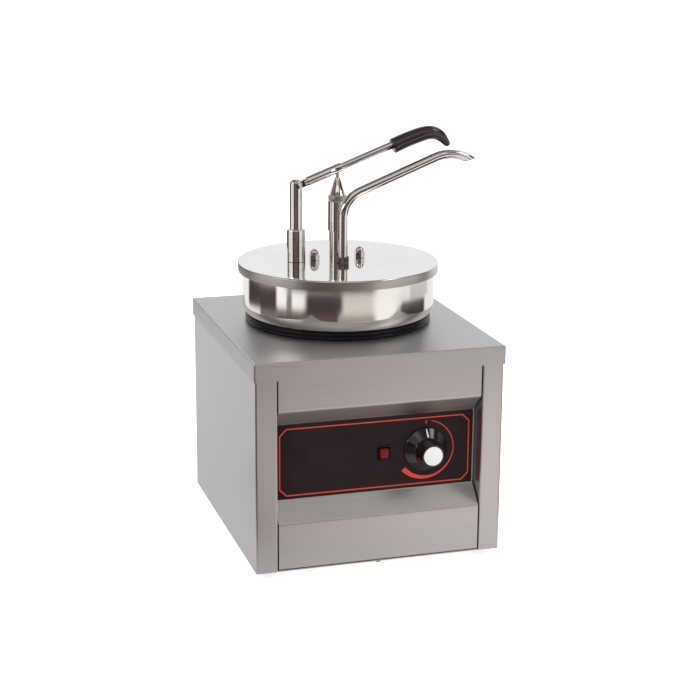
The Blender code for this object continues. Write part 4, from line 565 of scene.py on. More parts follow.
def lid_steel():
    """A mirror top with a brushed skirt below its edge."""
    material, tree, shader, effect, place = new_finish("lid_steel", BRUSHED_GRAIN, Metallic=1.0)
    dial(effect, Roughness=0.34, Swing=0.14)
    tree.links.new(stretched(tree, place, (30, 30, 2600)), effect.inputs["Lines"])
    parts = axes(tree, place)
    top = spread(tree, parts["Z"], LID_TOP - 1.3 * MM, LID_TOP - 0.4 * MM)
    gloss = effect_from(tree, POLISH_HAZE, place)
    dial(gloss, Roughness=0.035, Haze=0.10)
    rough = tree.nodes.new("ShaderNodeMix")
    for value, socket in zip((top, effect.outputs["Roughness"], gloss.outputs["Roughness"]), (0, 2, 3)):
        tree.links.new(value, rough.inputs[socket])
    skirt = blend(tree, effect.outputs["Shade"], (0.42, 0.39, 0.37, 1), (0.58, 0.55, 0.53, 1))
    bright = blend(tree, gloss.outputs["Shade"], (0.80, 0.79, 0.78, 1), (0.86, 0.855, 0.85, 1))
    tree.links.new(blend(tree, top, skirt, bright), shader.inputs["Base Color"])
    tree.links.new(rough.outputs[0], shader.inputs["Roughness"])
    return material


def glowing_lens():
    """The red lens, a little clear at its face."""
    material, tree, shader, effect, place = new_finish(
        "lamp_red", MOULDED_SKIN, Coat_Weight=0.15, Coat_Roughness=0.12, Specular_IOR_Level=0.2,
    )
    dial(effect, Roughness=0.35, Pips=700.0)
    wire_up(tree, shader, effect, (0.10, 0.006, 0.006), (0.20, 0.012, 0.011), 0.02 * MM)
    return material


# How closely the grain is packed along X, Y and Z
GRAIN_ALONG_X = (25, 2600, 2600)
GRAIN_ALONG_Z = (2600, 2600, 25)

FINISHES = {
    "front_steel": brushed(
        "front_steel", (0.53, 0.52, 0.515), (0.60, 0.59, 0.58), GRAIN_ALONG_X, 0.42, 0.08, 0.008 * MM,
    ),
    "cover_steel": brushed(
        "cover_steel", (0.53, 0.524, 0.52), (0.62, 0.614, 0.61), GRAIN_ALONG_X, 0.42, 0.08, 0.02 * MM,
    ),
    "side_steel": brushed(
        "side_steel", (0.50, 0.495, 0.495), (0.58, 0.575, 0.57), GRAIN_ALONG_Z, 0.34, 0.10, 0.008 * MM,
    ),
    "inner_steel": brushed(
        "inner_steel", (0.45, 0.44, 0.43), (0.60, 0.59, 0.58), (400, 400, 400), 0.42, 0.12, 0.004 * MM,
    ),
    "polished_steel": polished(
        "polished_steel", (0.74, 0.72, 0.70), (0.82, 0.80, 0.78), 0.045, 0.10, 0.02 * MM,
    ),
    "tube_steel": polished("tube_steel", (0.66, 0.63, 0.61), (0.76, 0.73, 0.71), 0.07, 0.14, 0.01 * MM),
    "matt_band": brushed(
        "matt_band", (0.42, 0.39, 0.37), (0.58, 0.55, 0.53), (200, 200, 3000), 0.42, 0.15, 0.008 * MM,
    ),
    "dark_steel": brushed(
        "dark_steel", (0.10, 0.09, 0.09), (0.24, 0.22, 0.21), (900, 900, 900), 0.35, 0.2, 0.01 * MM,
    ),
    "lid_steel": lid_steel(),
    "black_rubber": moulded(
        "black_rubber", (0.005, 0.004, 0.004), (0.010, 0.009, 0.009), 0.24, 0.15, 1800.0, 0.004 * MM,
        Specular_IOR_Level=0.14,
    ),
    "plate_black": moulded(
        "plate_black", (0.017, 0.009, 0.011), (0.024, 0.013, 0.016), 0.42, 0.15, 2600.0, 0.004 * MM,
        Specular_IOR_Level=0.12,
    ),
    "bezel_black": moulded(
        "bezel_black", (0.010, 0.008, 0.008), (0.020, 0.016, 0.016), 0.38, 0.2, 2000.0, 0.01 * MM,
    ),
    "line_red": moulded(
        "line_red", (0.62, 0.035, 0.014), (0.74, 0.055, 0.022), 0.45, 0.1, 2400.0, 0.003 * MM,
    ),
    "pointer_white": moulded(
        "pointer_white", (0.70, 0.70, 0.69), (0.80, 0.80, 0.79), 0.4, 0.1, 2400.0, 0.004 * MM,
    ),
    "lamp_red": glowing_lens(),
    "knob_black": moulded(
        "knob_black", (0.006, 0.005, 0.005), (0.011, 0.010, 0.010), 0.14, 0.12, 900.0, 0.004 * MM,
        Coat_Weight=0.3,
    ),
    "cap_white": moulded(
        "cap_white", (0.78, 0.78, 0.77), (0.85, 0.85, 0.84), 0.28, 0.15, 900.0, 0.006 * MM,
    ),
    "grip_brown": moulded(
        "grip_brown", (0.016, 0.007, 0.009), (0.030, 0.014, 0.016), 0.20, 0.14, 500.0, 0.006 * MM,
        Coat_Weight=0.35, Coat_Roughness=0.08,
    ),
    "element_grey": moulded(
        "element_grey", (0.24, 0.22, 0.20), (0.36, 0.33, 0.30), 0.6, 0.2, 500.0, 0.05 * MM,
    ),
    "nylon_grey": moulded(
        "nylon_grey", (0.030, 0.030, 0.032), (0.050, 0.050, 0.053), 0.45, 0.2, 1200.0, 0.02 * MM,
    ),
    "seal_white": moulded(
        "seal_white", (0.72, 0.72, 0.69), (0.82, 0.82, 0.79), 0.5, 0.1, 900.0, 0.01 * MM,
    ),
    "copper": polished("copper", (0.60, 0.30, 0.17), (0.76, 0.43, 0.27), 0.25, 0.3, 0.02 * MM),
}

NODE_FINISHES = {
    "front_steel": ("front_panel",),
    "cover_steel": ("top_cover",),
    "side_steel": ("side_panel_left", "side_panel_right", "back_panel"),
    "inner_steel": (
        "base_plate", "water_well", "element_clamp", "clamp_nut", "thermostat_shaft", "bush_nut", "bulb_clip",
        "pump_plate", "post_nut", "pump_cylinder", "piston_nut", "valve_body", "riser_tube",
    ),
    "black_rubber": ("piston_seal",),
    "dark_steel": ("panel_screw", "pivot_pin", "grip_pin", "cross_pin"),
    "element_grey": ("heating_element", "thermostat_body"),
    "plate_black": ("control_plate",),
    "bezel_black": ("lamp_bezel",),
    "nylon_grey": ("terminal_block", "gland_nut"),
    "seal_white": ("piston",),
    "copper": ("sensor_bulb", "capillary_tube"),
    "tube_steel": ("inlet_ball", "outlet_ball"),
}


def dress_nodes():
    """Give the frame's own pieces their finishes."""
    for finish, names in NODE_FINISHES.items():
        for name in names:
            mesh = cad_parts[name].data
            mesh.materials.clear()
            mesh.materials.append(FINISHES[finish])


# Pot, ring and lid

def pot():
    """The fudge pot with a round shoulder and a rolled rim."""
    inner = INSERT_RADIUS - POT_WALL
    corner = (INSERT_RADIUS - INSERT_CORNER, POT_FOOT + INSERT_CORNER)
    shoulder = (SHOULDER_CENTRE, SHOULDER_FOOT + SHOULDER)
    outer_turn = math.degrees(math.acos((INSERT_RADIUS - SHOULDER_CENTRE) / SHOULDER))
    inner_turn = math.degrees(math.acos((inner - SHOULDER_CENTRE) / (SHOULDER - POT_WALL)))
    flare = RIM - RIM_BAND
    outer = POT_RADIUS + RIM_FLARE
    profile = [(0, POT_FOOT + POT_WALL)]
    profile += arc(corner, INSERT_CORNER - POT_WALL, -90, 0)
    profile += arc(shoulder, SHOULDER - POT_WALL, -inner_turn, 0)
    profile += [(POT_RADIUS - POT_WALL, flare + POT_WALL / 2), (outer - POT_WALL, RIM)]
    profile += [(outer, RIM), (outer, RIM - POT_WALL), (POT_RADIUS, flare)]
    profile += arc(shoulder, SHOULDER, 0, -outer_turn, 24)
    profile += arc(corner, INSERT_CORNER, 0, -90)
    profile += [(0, POT_FOOT)]
    piece = turned("fudge_pot", profile, AXIS)
    keep(piece, "polished_steel", "polished_steel", "pot", "pot")


def seat_ring():
    """The rubber ring with its two beads."""
    bead = RING_HEIGHT / 4
    centre = RING_RADIUS - bead
    lip_foot = COVER_TOP - 4 * MM
    reach = RING_BORE - SHOULDER_CENTRE
    seat = SHOULDER_FOOT + SHOULDER - math.sqrt(SHOULDER ** 2 - reach ** 2) - 0.6 * MM
    profile = [(RING_BORE, seat)]
    profile += arc((centre, RING_FOOT + 3 * bead), bead, 90, -62, 12)
    profile += arc((centre, RING_FOOT + bead), bead, 62, -90, 12)
    profile += [(RING_LIP, RING_FOOT), (RING_LIP, lip_foot), (RING_BORE, lip_foot)]
    keep(turned("rubber_ring", profile, AXIS), "black_rubber", "black_rubber", "cabinet", "seat_ring")


def lid():
    """The flat lid and its skirt."""
    inside = LID_RADIUS - LID_SHEET
    edge = (LID_RADIUS - LID_EDGE, LID_TOP - LID_EDGE)
    skirt = LID_TOP - LID_SKIRT
    profile = [(0, LID_TOP), (LID_RADIUS - 5 * LID_EDGE, LID_TOP)]
    profile += arc(edge, LID_EDGE, 90, 0)
    profile += [(LID_RADIUS, skirt), (inside, skirt)]
    profile += arc(edge, LID_EDGE - LID_SHEET, 0, 90, 4)
    profile += [(0, LID_TOP - LID_SHEET)]
    keep(turned("bright_lid", profile, AXIS, LID_ROUND), "lid_steel", "lid_steel", "lid", "lid")


def cap_nut(label, side):
    """A domed nut: a chamfered hexagon under a round head."""
    corner = NUT_FLATS / 2 / math.cos(math.pi / 6)
    flats = turned("flats", [(0, NUT_HEIGHT), (corner, NUT_HEIGHT), (corner, 0), (0, 0)], around=6)
    chamfer = 5.35 * MM
    shell = [
        (0, 6.3 * MM), (DOME_RADIUS, 6.3 * MM), (chamfer, 5.7 * MM), (corner + MM, 5.2 * MM),
        (corner + MM, 0.9 * MM), (chamfer, 0.0), (0, 0.0),
    ]
    base = combined(flats, "INTERSECT", turned("round_off", shell, around=TUBE_ROUND))
    dome = [(0, 12 * MM)]
    dome += arc((0, 7.3 * MM), DOME_RADIUS, 85, 0, 10)
    dome += [(DOME_RADIUS, 6 * MM), (0, 6 * MM)]
    head = turned("head", dome, around=TUBE_ROUND)
    bm = bmesh.new()
    bm.from_mesh(base.data)
    bm.from_mesh(head.data)
    bpy.data.objects.remove(head)
    bpy.data.objects.remove(base)
    piece = mesh_piece("domed_nut_" + label, bm)
    piece.location = (PUMP.x + side * NUT_SPACING, PUMP.y, LID_TOP + SEAT_GAP)
    piece.rotation_euler = (0, 0, math.pi / 6)
    keep(piece, "tube_steel", "tube_steel", "lid", "cap_nut_" + label)


# Post and lever

def post():
    """The post's foot sleeve, with a fine joint line, and the slotted post."""
    foot = LID_TOP + SEAT_GAP
    top = LID_TOP + SLEEVE_HEIGHT
    bore = POST_RADIUS + SEAT_GAP
    line = LID_TOP + SLEEVE_LINE
    groove = SLEEVE_RADIUS - 0.5 * MM
    # A second ring close to each bevel keeps the long wall's shading straight
    profile = [
        (bore, top - 0.4 * MM), (bore + 0.3 * MM, top), (SLEEVE_RADIUS - 1.2 * MM, top),
        (SLEEVE_RADIUS - 0.3 * MM, top - 0.5 * MM), (SLEEVE_RADIUS, top - 1.3 * MM),
        (SLEEVE_RADIUS, top - 1.5 * MM), (SLEEVE_RADIUS, line + 0.5 * MM), (SLEEVE_RADIUS, line + 0.3 * MM),
        (groove, line + 0.15 * MM), (groove, line - 0.15 * MM), (SLEEVE_RADIUS, line - 0.3 * MM),
        (SLEEVE_RADIUS, line - 0.5 * MM), (SLEEVE_RADIUS, foot), (bore, foot),
    ]
    at = (PIVOT.x, PIVOT.y, 0)
    sleeve = turned("post_foot", profile, at, POST_ROUND)
    keep(sleeve, "tube_steel", "tube_steel", "lid", "post_sleeve")
    head = PIVOT.z + POST_HEAD
    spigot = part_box("lever_post")[0].z
    profile = [(0, head)]
    profile += arc((POST_RADIUS - POST_HEAD_ROUND, head - POST_HEAD_ROUND), POST_HEAD_ROUND, 90, 0, 10)
    profile += [(POST_RADIUS, foot), (SPIGOT_RADIUS, foot), (SPIGOT_RADIUS, spigot), (0, spigot)]
    upright = turned("slotted_post", profile, at, POST_ROUND)
    half = TANG_HALF + 0.3 * MM
    slot = block(
        "post_slot",
        (PIVOT.x - 5 * MM, PIVOT.y - half, PIVOT.z - 10 * MM),
        (PIVOT.x + 11 * MM, PIVOT.y + half, head + 5 * MM),
    )
    reach = 11 * MM
    pin = straight(
        "pin_hole", PIVOT_HOLE, (PIVOT.x, PIVOT.y - reach, PIVOT.z), (PIVOT.x, PIVOT.y + reach, PIVOT.z),
    )
    upright = carved(upright, slot, pin)
    keep(upright, "tube_steel", "tube_steel", "lid", "lever_post")


def lever_place():
    """Where the lever's own X axis lies at rest."""
    return Matrix.Translation(PIVOT) @ Matrix.Rotation(-LEVER_REST, 4, "Y")


def side_slot(name):
    """The slot that the cross pin slides in, with round ends."""
    reach = 9 * MM
    outline = arc((SLOT_END, 0), SLOT_HALF, -90, 90) + arc((SLOT_START, 0), SLOT_HALF, 90, 270)
    return plate_shape(name, outline, (), reach, 2 * reach)


def neck_slot(name):
    """The slot that the plunger's neck enters from below."""
    return block(name, NECK_LOW, NECK_HIGH)


def grip_pin_hole(name):
    """The hole for the pin across the grip."""
    at = Vector(GRIP_PIN_AT)
    reach = Vector((0, 13 * MM, 0))
    return straight(name, GRIP_PIN_RADIUS, at - reach, at + reach)


def lever():
    """The lever's tang, rod and slotted sleeve."""
    tang_outline = arc((0, 0), TANG_RADIUS, TANG_TURN, 360 - TANG_TURN, 24)
    tang_outline += [(TANG_END, -TANG_RISE), (TANG_END, TANG_RISE)]
    tang = plate_shape("tang", tang_outline, (), TANG_HALF, 2 * TANG_HALF)
    core = straight("lever_core", LEVER_RADIUS, (LEVER_START, 0, 0), (LEVER_END, 0, 0))
    core = combined(core, "UNION", tang)
    pin = straight("tang_hole", PIVOT_HOLE, (0, -9 * MM, 0), (0, 9 * MM, 0))
    core = carved(
        core, pin, side_slot("rod_side_slot"), neck_slot("rod_neck_slot"), grip_pin_hole("rod_pin_hole"),
    )
    keep(placed(core, lever_place()), "tube_steel", "tube_steel", "lever", "lever_rod")
    bevel = 0.4 * MM
    profile = [
        (BUSH_RADIUS - bevel, BUSH_END), (BUSH_RADIUS, BUSH_END - bevel),
        (BUSH_RADIUS, BUSH_START + bevel), (BUSH_RADIUS - bevel, BUSH_START),
        (BUSH_BORE, BUSH_START), (BUSH_BORE, BUSH_END),
    ]
    sleeve = turned("lever_bush", profile, around=TUBE_ROUND)
    sleeve = placed(sleeve, Matrix.Rotation(math.pi / 2, 4, "Y"))
    sleeve = carved(sleeve, side_slot("bush_side_slot"), neck_slot("bush_neck_slot"))
    keep(placed(sleeve, lever_place()), "tube_steel", "tube_steel", "lever", "lever_sleeve")


# Share of the grip's length, share of its fall, and share of its radius
GRIP_SHAPE = (
    (0.000, 0.066, 0.88), (0.020, 0.066, 0.98), (0.061, 0.066, 1.00), (0.296, 0.052, 0.97),
    (0.535, 0.079, 0.96), (0.684, 0.125, 0.91), (0.784, 0.208, 0.87), (0.875, 0.372, 0.79),
    (0.931, 0.555, 0.70), (0.972, 0.798, 0.55), (1.000, 1.000, 0.42), (1.011, 1.085, 0.26),
)


def grip():
    """The moulded grip, bent down at its end."""
    rows = smooth_through(GRIP_SHAPE, 6)
    points = [(GRIP_START + GRIP_LENGTH * run, 0, -GRIP_FALL * fall) for run, fall, size in rows]
    handle = bar("moulded_grip", GRIP_RADIUS, points, [size for run, fall, size in rows], 12)
    bore = straight("grip_bore", BUSH_BORE, (100 * MM, 0, 0), (LEVER_END + 0.3 * MM, 0, 0))
    handle = carved(handle, bore, grip_pin_hole("grip_pin_hole"))
    keep(placed(handle, lever_place()), "grip_brown", "grip_brown", "lever", "handle_grip")


# Plunger

def plunger():
    """The cap with its cone and skirt, its matt band and the guide tube."""
    neck = 2.2 * MM
    skirt = 9.75 * MM
    inside = 9.05 * MM
    profile = [
        (neck, CONE_TIP), (neck + 0.7 * MM, CONE_TIP), (8.6 * MM, BAND_TOP + 0.2 * MM),
        (9.2 * MM, BAND_TOP - 0.3 * MM), (9.4 * MM, BAND_FOOT + 0.2 * MM),
        (skirt, BAND_FOOT - 0.2 * MM), (skirt, CAP_FOOT + 0.3 * MM),
        (skirt - 0.25 * MM, CAP_FOOT), (inside, CAP_FOOT), (inside, BAND_FOOT), (3.3 * MM, BAND_FOOT),
        (3.3 * MM, BAND_FOOT + 3.3 * MM), (neck, BAND_FOOT + 3.3 * MM),
    ]
    cap = turned("plunger_cone", profile, PUMP, POST_ROUND)
    keep(cap, "tube_steel", "tube_steel", "plunger", "plunger_cap")
    band = [
        (9.1 * MM, BAND_TOP - 0.1 * MM), (9.45 * MM, BAND_TOP - 0.2 * MM), (9.6 * MM, BAND_TOP - 0.5 * MM),
        (9.6 * MM, BAND_FOOT + 0.5 * MM), (9.45 * MM, BAND_FOOT + 0.2 * MM), (9.1 * MM, BAND_FOOT + 0.1 * MM),
    ]
    keep(turned("cap_band", band, PUMP, POST_ROUND), "matt_band", "tube_steel", "plunger")
    line = LID_TOP + 7.5 * MM
    outer = 8.5 * MM
    bore = 7.7 * MM
    foot = LID_TOP - LID_SHEET
    profile = [
        (bore, GUIDE_TOP), (outer - 0.2 * MM, GUIDE_TOP), (outer, GUIDE_TOP - 0.2 * MM),
        (outer, line + 0.3 * MM), (outer - 0.4 * MM, line + 0.15 * MM), (outer - 0.4 * MM, line - 0.15 * MM),
        (outer, line - 0.3 * MM), (outer, foot), (3.3 * MM, foot), (3.3 * MM, foot + 5.5 * MM),
        (bore, foot + 5.5 * MM),
    ]
    guide = turned("pump_tube", profile, PUMP, POST_ROUND)
    keep(guide, "tube_steel", "tube_steel", "lid", "plunger_guide")


def coil():
    """The return spring, which in use shortens as the cap comes down: it stands on the guide's floor and is
    made here at its resting length.
    """
    low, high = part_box("return_spring")
    length = high.z - low.z
    reach = (high.x - low.x) / 2 - SPRING_WIRE
    steps = SPRING_TURNS * COIL_STEPS
    points = []
    for index in range(steps + 1):
        angle = math.tau * index / COIL_STEPS
        height = low.z + SPRING_WIRE + (length - 2 * SPRING_WIRE) * index / steps
        points.append((PUMP.x + reach * math.cos(angle), PUMP.y + reach * math.sin(angle), height))
    spring = bar("coil_spring", SPRING_WIRE, points, rings=8)
    keep(spring, "inner_steel", "inner_steel", "lid", "return_spring")
    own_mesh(spring)


# Spout

def bend(centre, radius, start, turn, steps):
    """Points round a bend to the right, after its start."""
    points = []
    for step in range(1, steps + 1):
        heading = start - turn * step / steps
        points.append((centre[0] - radius * math.sin(heading), centre[1] + radius * math.cos(heading)))
    return points


def spout():
    """The bent spout, hollow, its lip cut nearly level."""
    start = PUMP.x
    line = [(start, SPOUT_START), (start, SPOUT_RISE)]
    line += bend((start + SPOUT_BEND, SPOUT_RISE), SPOUT_BEND, math.pi / 2, math.pi / 2 - SPOUT_SLOPE, 24)
    x, height = line[-1]
    line.append((x + SPOUT_RUN * math.cos(SPOUT_SLOPE), height + SPOUT_RUN * math.sin(SPOUT_SLOPE)))
    x, height = line[-1]
    centre = (x + SPOUT_END_BEND * math.sin(SPOUT_SLOPE), height - SPOUT_END_BEND * math.cos(SPOUT_SLOPE))
    line += bend(centre, SPOUT_END_BEND, SPOUT_SLOPE, SPOUT_LIP_TURN + LIP_SPARE, 32)
    points = [(x, SPOUT_Y, height) for x, height in line]
    pipe = bar("bent_spout", SPOUT_RADIUS, points, rings=14)
    beyond = tuple(2 * a - b for a, b in zip(points[-1], points[-2]))
    inner = [(points[0][0], points[0][1], points[0][2] - 4 * MM)] + points[1:] + [beyond]
    hollow = bar("spout_hollow", SPOUT_RADIUS - SPOUT_WALL, inner, rings=8)
    lean = SPOUT_LIP_TURN - SPOUT_SLOPE
    reach = SPOUT_END_BEND + SPOUT_RADIUS
    lip = Vector((centre[0] + reach * math.sin(lean), SPOUT_Y, centre[1] + reach * math.cos(lean)))
    trim = block("lip_trim", (-20 * MM, -10 * MM, -20 * MM), (10 * MM, 10 * MM, 0))
    placed(trim, Matrix.Translation(lip) @ Matrix.Rotation(-LIP_SLANT, 4, "Y"))
    pipe = carved(pipe, hollow, trim)
    keep(pipe, "tube_steel", "tube_steel", "lid", "spout_tube")


# Radius and height in millimetres, and 1 where the nut is knurled
KNURLED_NUT_SHAPE = (
    (5.3, 6.6, 0), (6.0, 6.6, 0), (6.4, 6.2, 1), (6.4, 3.5, 1), (6.05, 3.4, 0), (6.05, 3.1, 0),
    (6.4, 3.0, 1), (6.4, 0.4, 1), (6.0, 0, 0), (5.3, 0, 0),
)
KNURL_DEPTH = 0.28


def spout_nut():
    """The knurled nut at the spout's foot."""
    bm = bmesh.new()
    rings = []
    for radius, height, knurled in KNURLED_NUT_SHAPE:
        ring = []
        for index in range(POST_ROUND):
            angle = math.tau * index / POST_ROUND
            reach = (radius - KNURL_DEPTH * knurled * (index % 2)) * MM
            ring.append(bm.verts.new((reach * math.cos(angle), reach * math.sin(angle), height * MM)))
        rings.append(ring)
    for upper, lower in zip(rings, rings[1:] + rings[:1]):
        for index in range(POST_ROUND):
            after = (index + 1) % POST_ROUND
            bm.faces.new((upper[index], lower[index], lower[after], upper[after]))
    piece = mesh_piece("knurled_nut", bm)
    piece.location = (PUMP.x, SPOUT_Y, LID_TOP + SEAT_GAP)
    keep(piece, "dark_steel", "dark_steel", "lid", "spout_nut")


# Controls

# Radius and height in millimetres; the pointer's corners are x, y and z
KNOB_SHAPE = (
    (0, 23.8), (10.4, 23.8), (10.4, 24.8), (10.6, 25.0), (11.3, 25.0), (11.8, 24.7), (12.0, 24.1),
    (14.1, 9.6), (14.5, 9.0), (15.2, 8.5), (22.6, 2.0), (23.15, 1.6), (23.3, 1.2), (23.3, 0.2), (23.1, 0),
    (10.5, 0), (10.5, 6.6), (3.3, 6.6), (3.3, 15.0), (0, 15.0),
)
KNOB_CAP_SHAPE = ((0, 25.6), (9.4, 25.6), (9.9, 25.4), (10.1, 25.0), (10.1, 24.1), (0, 24.1))
POINTER_CORNERS = ((-0.55, 22.3, 2.35), (0.55, 22.3, 2.35), (0.95, 15.3, 8.5), (-0.95, 15.3, 8.5))
POINTER_SUNK = 0.3
POINTER_PROUD = 0.12


def knob():
    """The knob with its wide skirt, a white pointer on the skirt and the bright cap."""
    stand = Matrix.Translation(KNOB_AT) @ Matrix.Rotation(math.pi / 2, 4, "X")
    body = turned("control_knob", in_metres(KNOB_SHAPE))
    keep(placed(body, stand), "knob_black", "knob_black", "knob", "knob")
    cap = turned("knob_disc", in_metres(KNOB_CAP_SHAPE))
    keep(placed(cap, stand), "cap_white", "cap_white", "knob", "knob_cap")
    bm = bmesh.new()
    low = [bm.verts.new((x * MM, y * MM, (z - POINTER_SUNK) * MM)) for x, y, z in POINTER_CORNERS]
    high = [bm.verts.new((x * MM, y * MM, (z + POINTER_PROUD) * MM)) for x, y, z in POINTER_CORNERS]
    bm.faces.new(high)
    bm.faces.new(low[::-1])
    for index in range(4):
        after = (index + 1) % 4
        bm.faces.new((low[index], low[after], high[after], high[index]))
    mark = mesh_piece("knob_pointer", bm)
    keep(placed(mark, stand), "pointer_white", "cap_white", "knob")


def lamp():
    """The pilot lamp's bezel and its soft-edged lens."""
    low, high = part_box("lamp_bezel")
    lens_low, lens_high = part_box("lamp_lens")
    margin = Vector((0.3 * MM, 0, 0.3 * MM))
    frame_high = Vector((high.x, PLATE_FACE - 0.3 * MM, high.z))
    rim = settled(softened(block("lamp_frame", low, frame_high), 0.5 * MM))
    window = block("lamp_window", lens_low - margin, lens_high + margin + Vector((0, 5 * MM, 0)))
    window.data.transform(Matrix.Translation((0, -3 * MM, 0)))
    keep(carved(rim, window), "bezel_black", "plate_black", "cabinet")
    lens = settled(softened(block("red_lens", lens_low, lens_high), 1.6 * MM, 5))
    keep(lens, "lamp_red", "lamp_red", "cabinet", "lamp_lens")


# The red line on the plate, its cut corners and its width
LINE_HALF = 102.2 * MM
LINE_TOP = 153.9 * MM
LINE_BOTTOM = 81.8 * MM
LINE_CORNER = 7.3 * MM
LINE_WIDTH = 1.3 * MM
PRINT_DEPTH = 0.12 * MM

# The arc round the knob: turns in degrees, widths in millimetres, thin for its first share
ARC_STEPS = 60
ARC_START = 78
ARC_TURN = 218
ARC_INSIDE = 30.7 * MM
ARC_THIN = 0.9
ARC_GROWTH = 4.6
ARC_THIN_SHARE = 0.35
ZERO_ABOVE = 29 * MM


def line_loop(inset):
    """The red line's outline, as far inside its outer edge as the inset says."""
    centre = (PLATE_LOW.x + PLATE_HIGH.x) / 2
    side = LINE_HALF - inset
    high = LINE_TOP - inset
    low = LINE_BOTTOM + inset
    cut = LINE_CORNER - inset * 0.41
    return [
        (centre - side + cut, high), (centre + side - cut, high), (centre + side, high - cut),
        (centre + side, low + cut), (centre + side - cut, low), (centre - side + cut, low),
        (centre - side, low + cut), (centre - side, high - cut),
    ]


def oval(half_width, half_height):
    """An outline of the zero at the arc's start."""
    turns = [step * math.tau / 32 for step in range(32)]
    x, z = KNOB_AT.x + 0.5 * MM, KNOB_AT.z + ZERO_ABOVE
    return [(x + half_width * math.cos(turn), z + half_height * math.sin(turn)) for turn in turns]


def control_marks():
    """The red line round the plate, the growing arc round the knob and its zero."""
    line = plate_shape("plate_line", line_loop(0), [line_loop(LINE_WIDTH)], PLATE_FACE, PRINT_DEPTH)
    keep(line, "line_red", "plate_black", "cabinet")
    outer = []
    inner = []
    for index in range(ARC_STEPS + 1):
        share = index / ARC_STEPS
        turn = math.radians(ARC_START - share * ARC_TURN)
        grown = max(0.0, (share - ARC_THIN_SHARE) / (1 - ARC_THIN_SHARE)) ** 1.5
        width = (ARC_THIN + ARC_GROWTH * grown) * MM
        middle = ARC_INSIDE + width / 2
        for loop, radius in ((outer, middle), (inner, middle - width)):
            loop.append((KNOB_AT.x + radius * math.cos(turn), KNOB_AT.z + radius * math.sin(turn)))
    sweep = plate_shape("heat_sweep", outer + inner[::-1], (), PLATE_FACE, PRINT_DEPTH)
    keep(sweep, "line_red", "plate_black", "cabinet")
    hole = oval(0.55 * MM, 1.2 * MM)
    zero = plate_shape("dial_zero", oval(1.1 * MM, 1.8 * MM), [hole], PLATE_FACE, PRINT_DEPTH)
    keep(zero, "line_red", "plate_black", "cabinet")


# Feet and gland

# Radius and height in millimetres
FOOT_SHAPE = (
    (0, 14.0), (2.6, 14.0), (3.9, 10.0), (2.6, 9.9), (2.6, 8.2), (8.7, 8.2), (9.0, 7.9), (8.6, 0.8),
    (8.3, 0.3), (7.7, 0), (4.2, 0), (3.9, 0.3), (3.6, 1.5), (0, 1.5),
)
GLAND_SHAPE = (
    (3.6, 12.4), (4.0, 13.0), (5.6, 13.0), (6.9, 12.3), (7.8, 10.8), (7.8, 3.9), (8.2, 3.5), (9.1, 3.5),
    (9.5, 3.1), (9.5, 0), (6.0, 0), (6.0, -10.5), (3.6, -10.5),
)
GLAND_HEIGHT = 13 * MM


def feet():
    """Four rubber feet with soft edges."""
    for name in ("foot_front_left", "foot_front_right", "foot_back_left", "foot_back_right"):
        low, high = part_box(name)
        middle = (low + high) / 2
        foot = turned("rubber_" + name, in_metres(FOOT_SHAPE), (middle.x, middle.y, 0), FOOT_ROUND)
        keep(foot, "black_rubber", "black_rubber", "cabinet", name)


def gland():
    """The cable gland: a flange, a round dome and an open bore."""
    low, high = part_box("cable_gland")
    middle = (low + high) / 2
    place = Matrix.Translation((middle.x, high.y - GLAND_HEIGHT, middle.z))
    body = turned("gland_body", in_metres(GLAND_SHAPE), around=FOOT_ROUND)
    piece = placed(body, place @ Matrix.Rotation(-math.pi / 2, 4, "X"))
    keep(piece, "nylon_grey", "nylon_grey", "cabinet", "cable_gland")


# Studio

def polar(tree, place, centre):
    """Distance from a centre, and the turn about it from the camera's side, in degrees, right positive."""
    parts = axes(tree, place)
    x = reckon(tree, "SUBTRACT", parts["X"], centre.x)
    y = reckon(tree, "SUBTRACT", parts["Y"], centre.y)
    cos, sin = math.cos(VIEW_TURN), math.sin(VIEW_TURN)
    rightward = reckon(tree, "MULTIPLY_ADD", x, cos, reckon(tree, "MULTIPLY", y, sin))
    forward = reckon(tree, "MULTIPLY_ADD", x, sin, reckon(tree, "MULTIPLY", y, -cos))
    turn = reckon(tree, "MULTIPLY", reckon(tree, "ARCTAN2", rightward, forward), 180 / math.pi)
    square = reckon(tree, "MULTIPLY_ADD", x, x, reckon(tree, "MULTIPLY", y, y))
    return reckon(tree, "SQRT", square), turn, parts["Z"]


def between(tree, value, low, high, soft):
    """A share that is 1 between two limits and falls to 0 softly outside them."""
    rise = spread(tree, value, low - soft / 2, low + soft / 2)
    fall = spread(tree, value, high - soft / 2, high + soft / 2, 1.0, 0.0)
    return reckon(tree, "MULTIPLY", rise, fall)


def with_cards(tree, colour, turn, reach, cards):
    """Lay dark and bright patches of light over a colour, by turn in degrees and by reach; on the floor they
    are painted light and shade.
    """
    for left, right, turn_soft, near, far, reach_soft, tone in cards:
        width = between(tree, turn, left, right, turn_soft)
        depth = between(tree, reach, near, far, reach_soft)
        share = reckon(tree, "MULTIPLY", width, depth)
        colour = blend(tree, spread(tree, share, 0.25, 0.75), colour, (*tone, 1))
    return colour


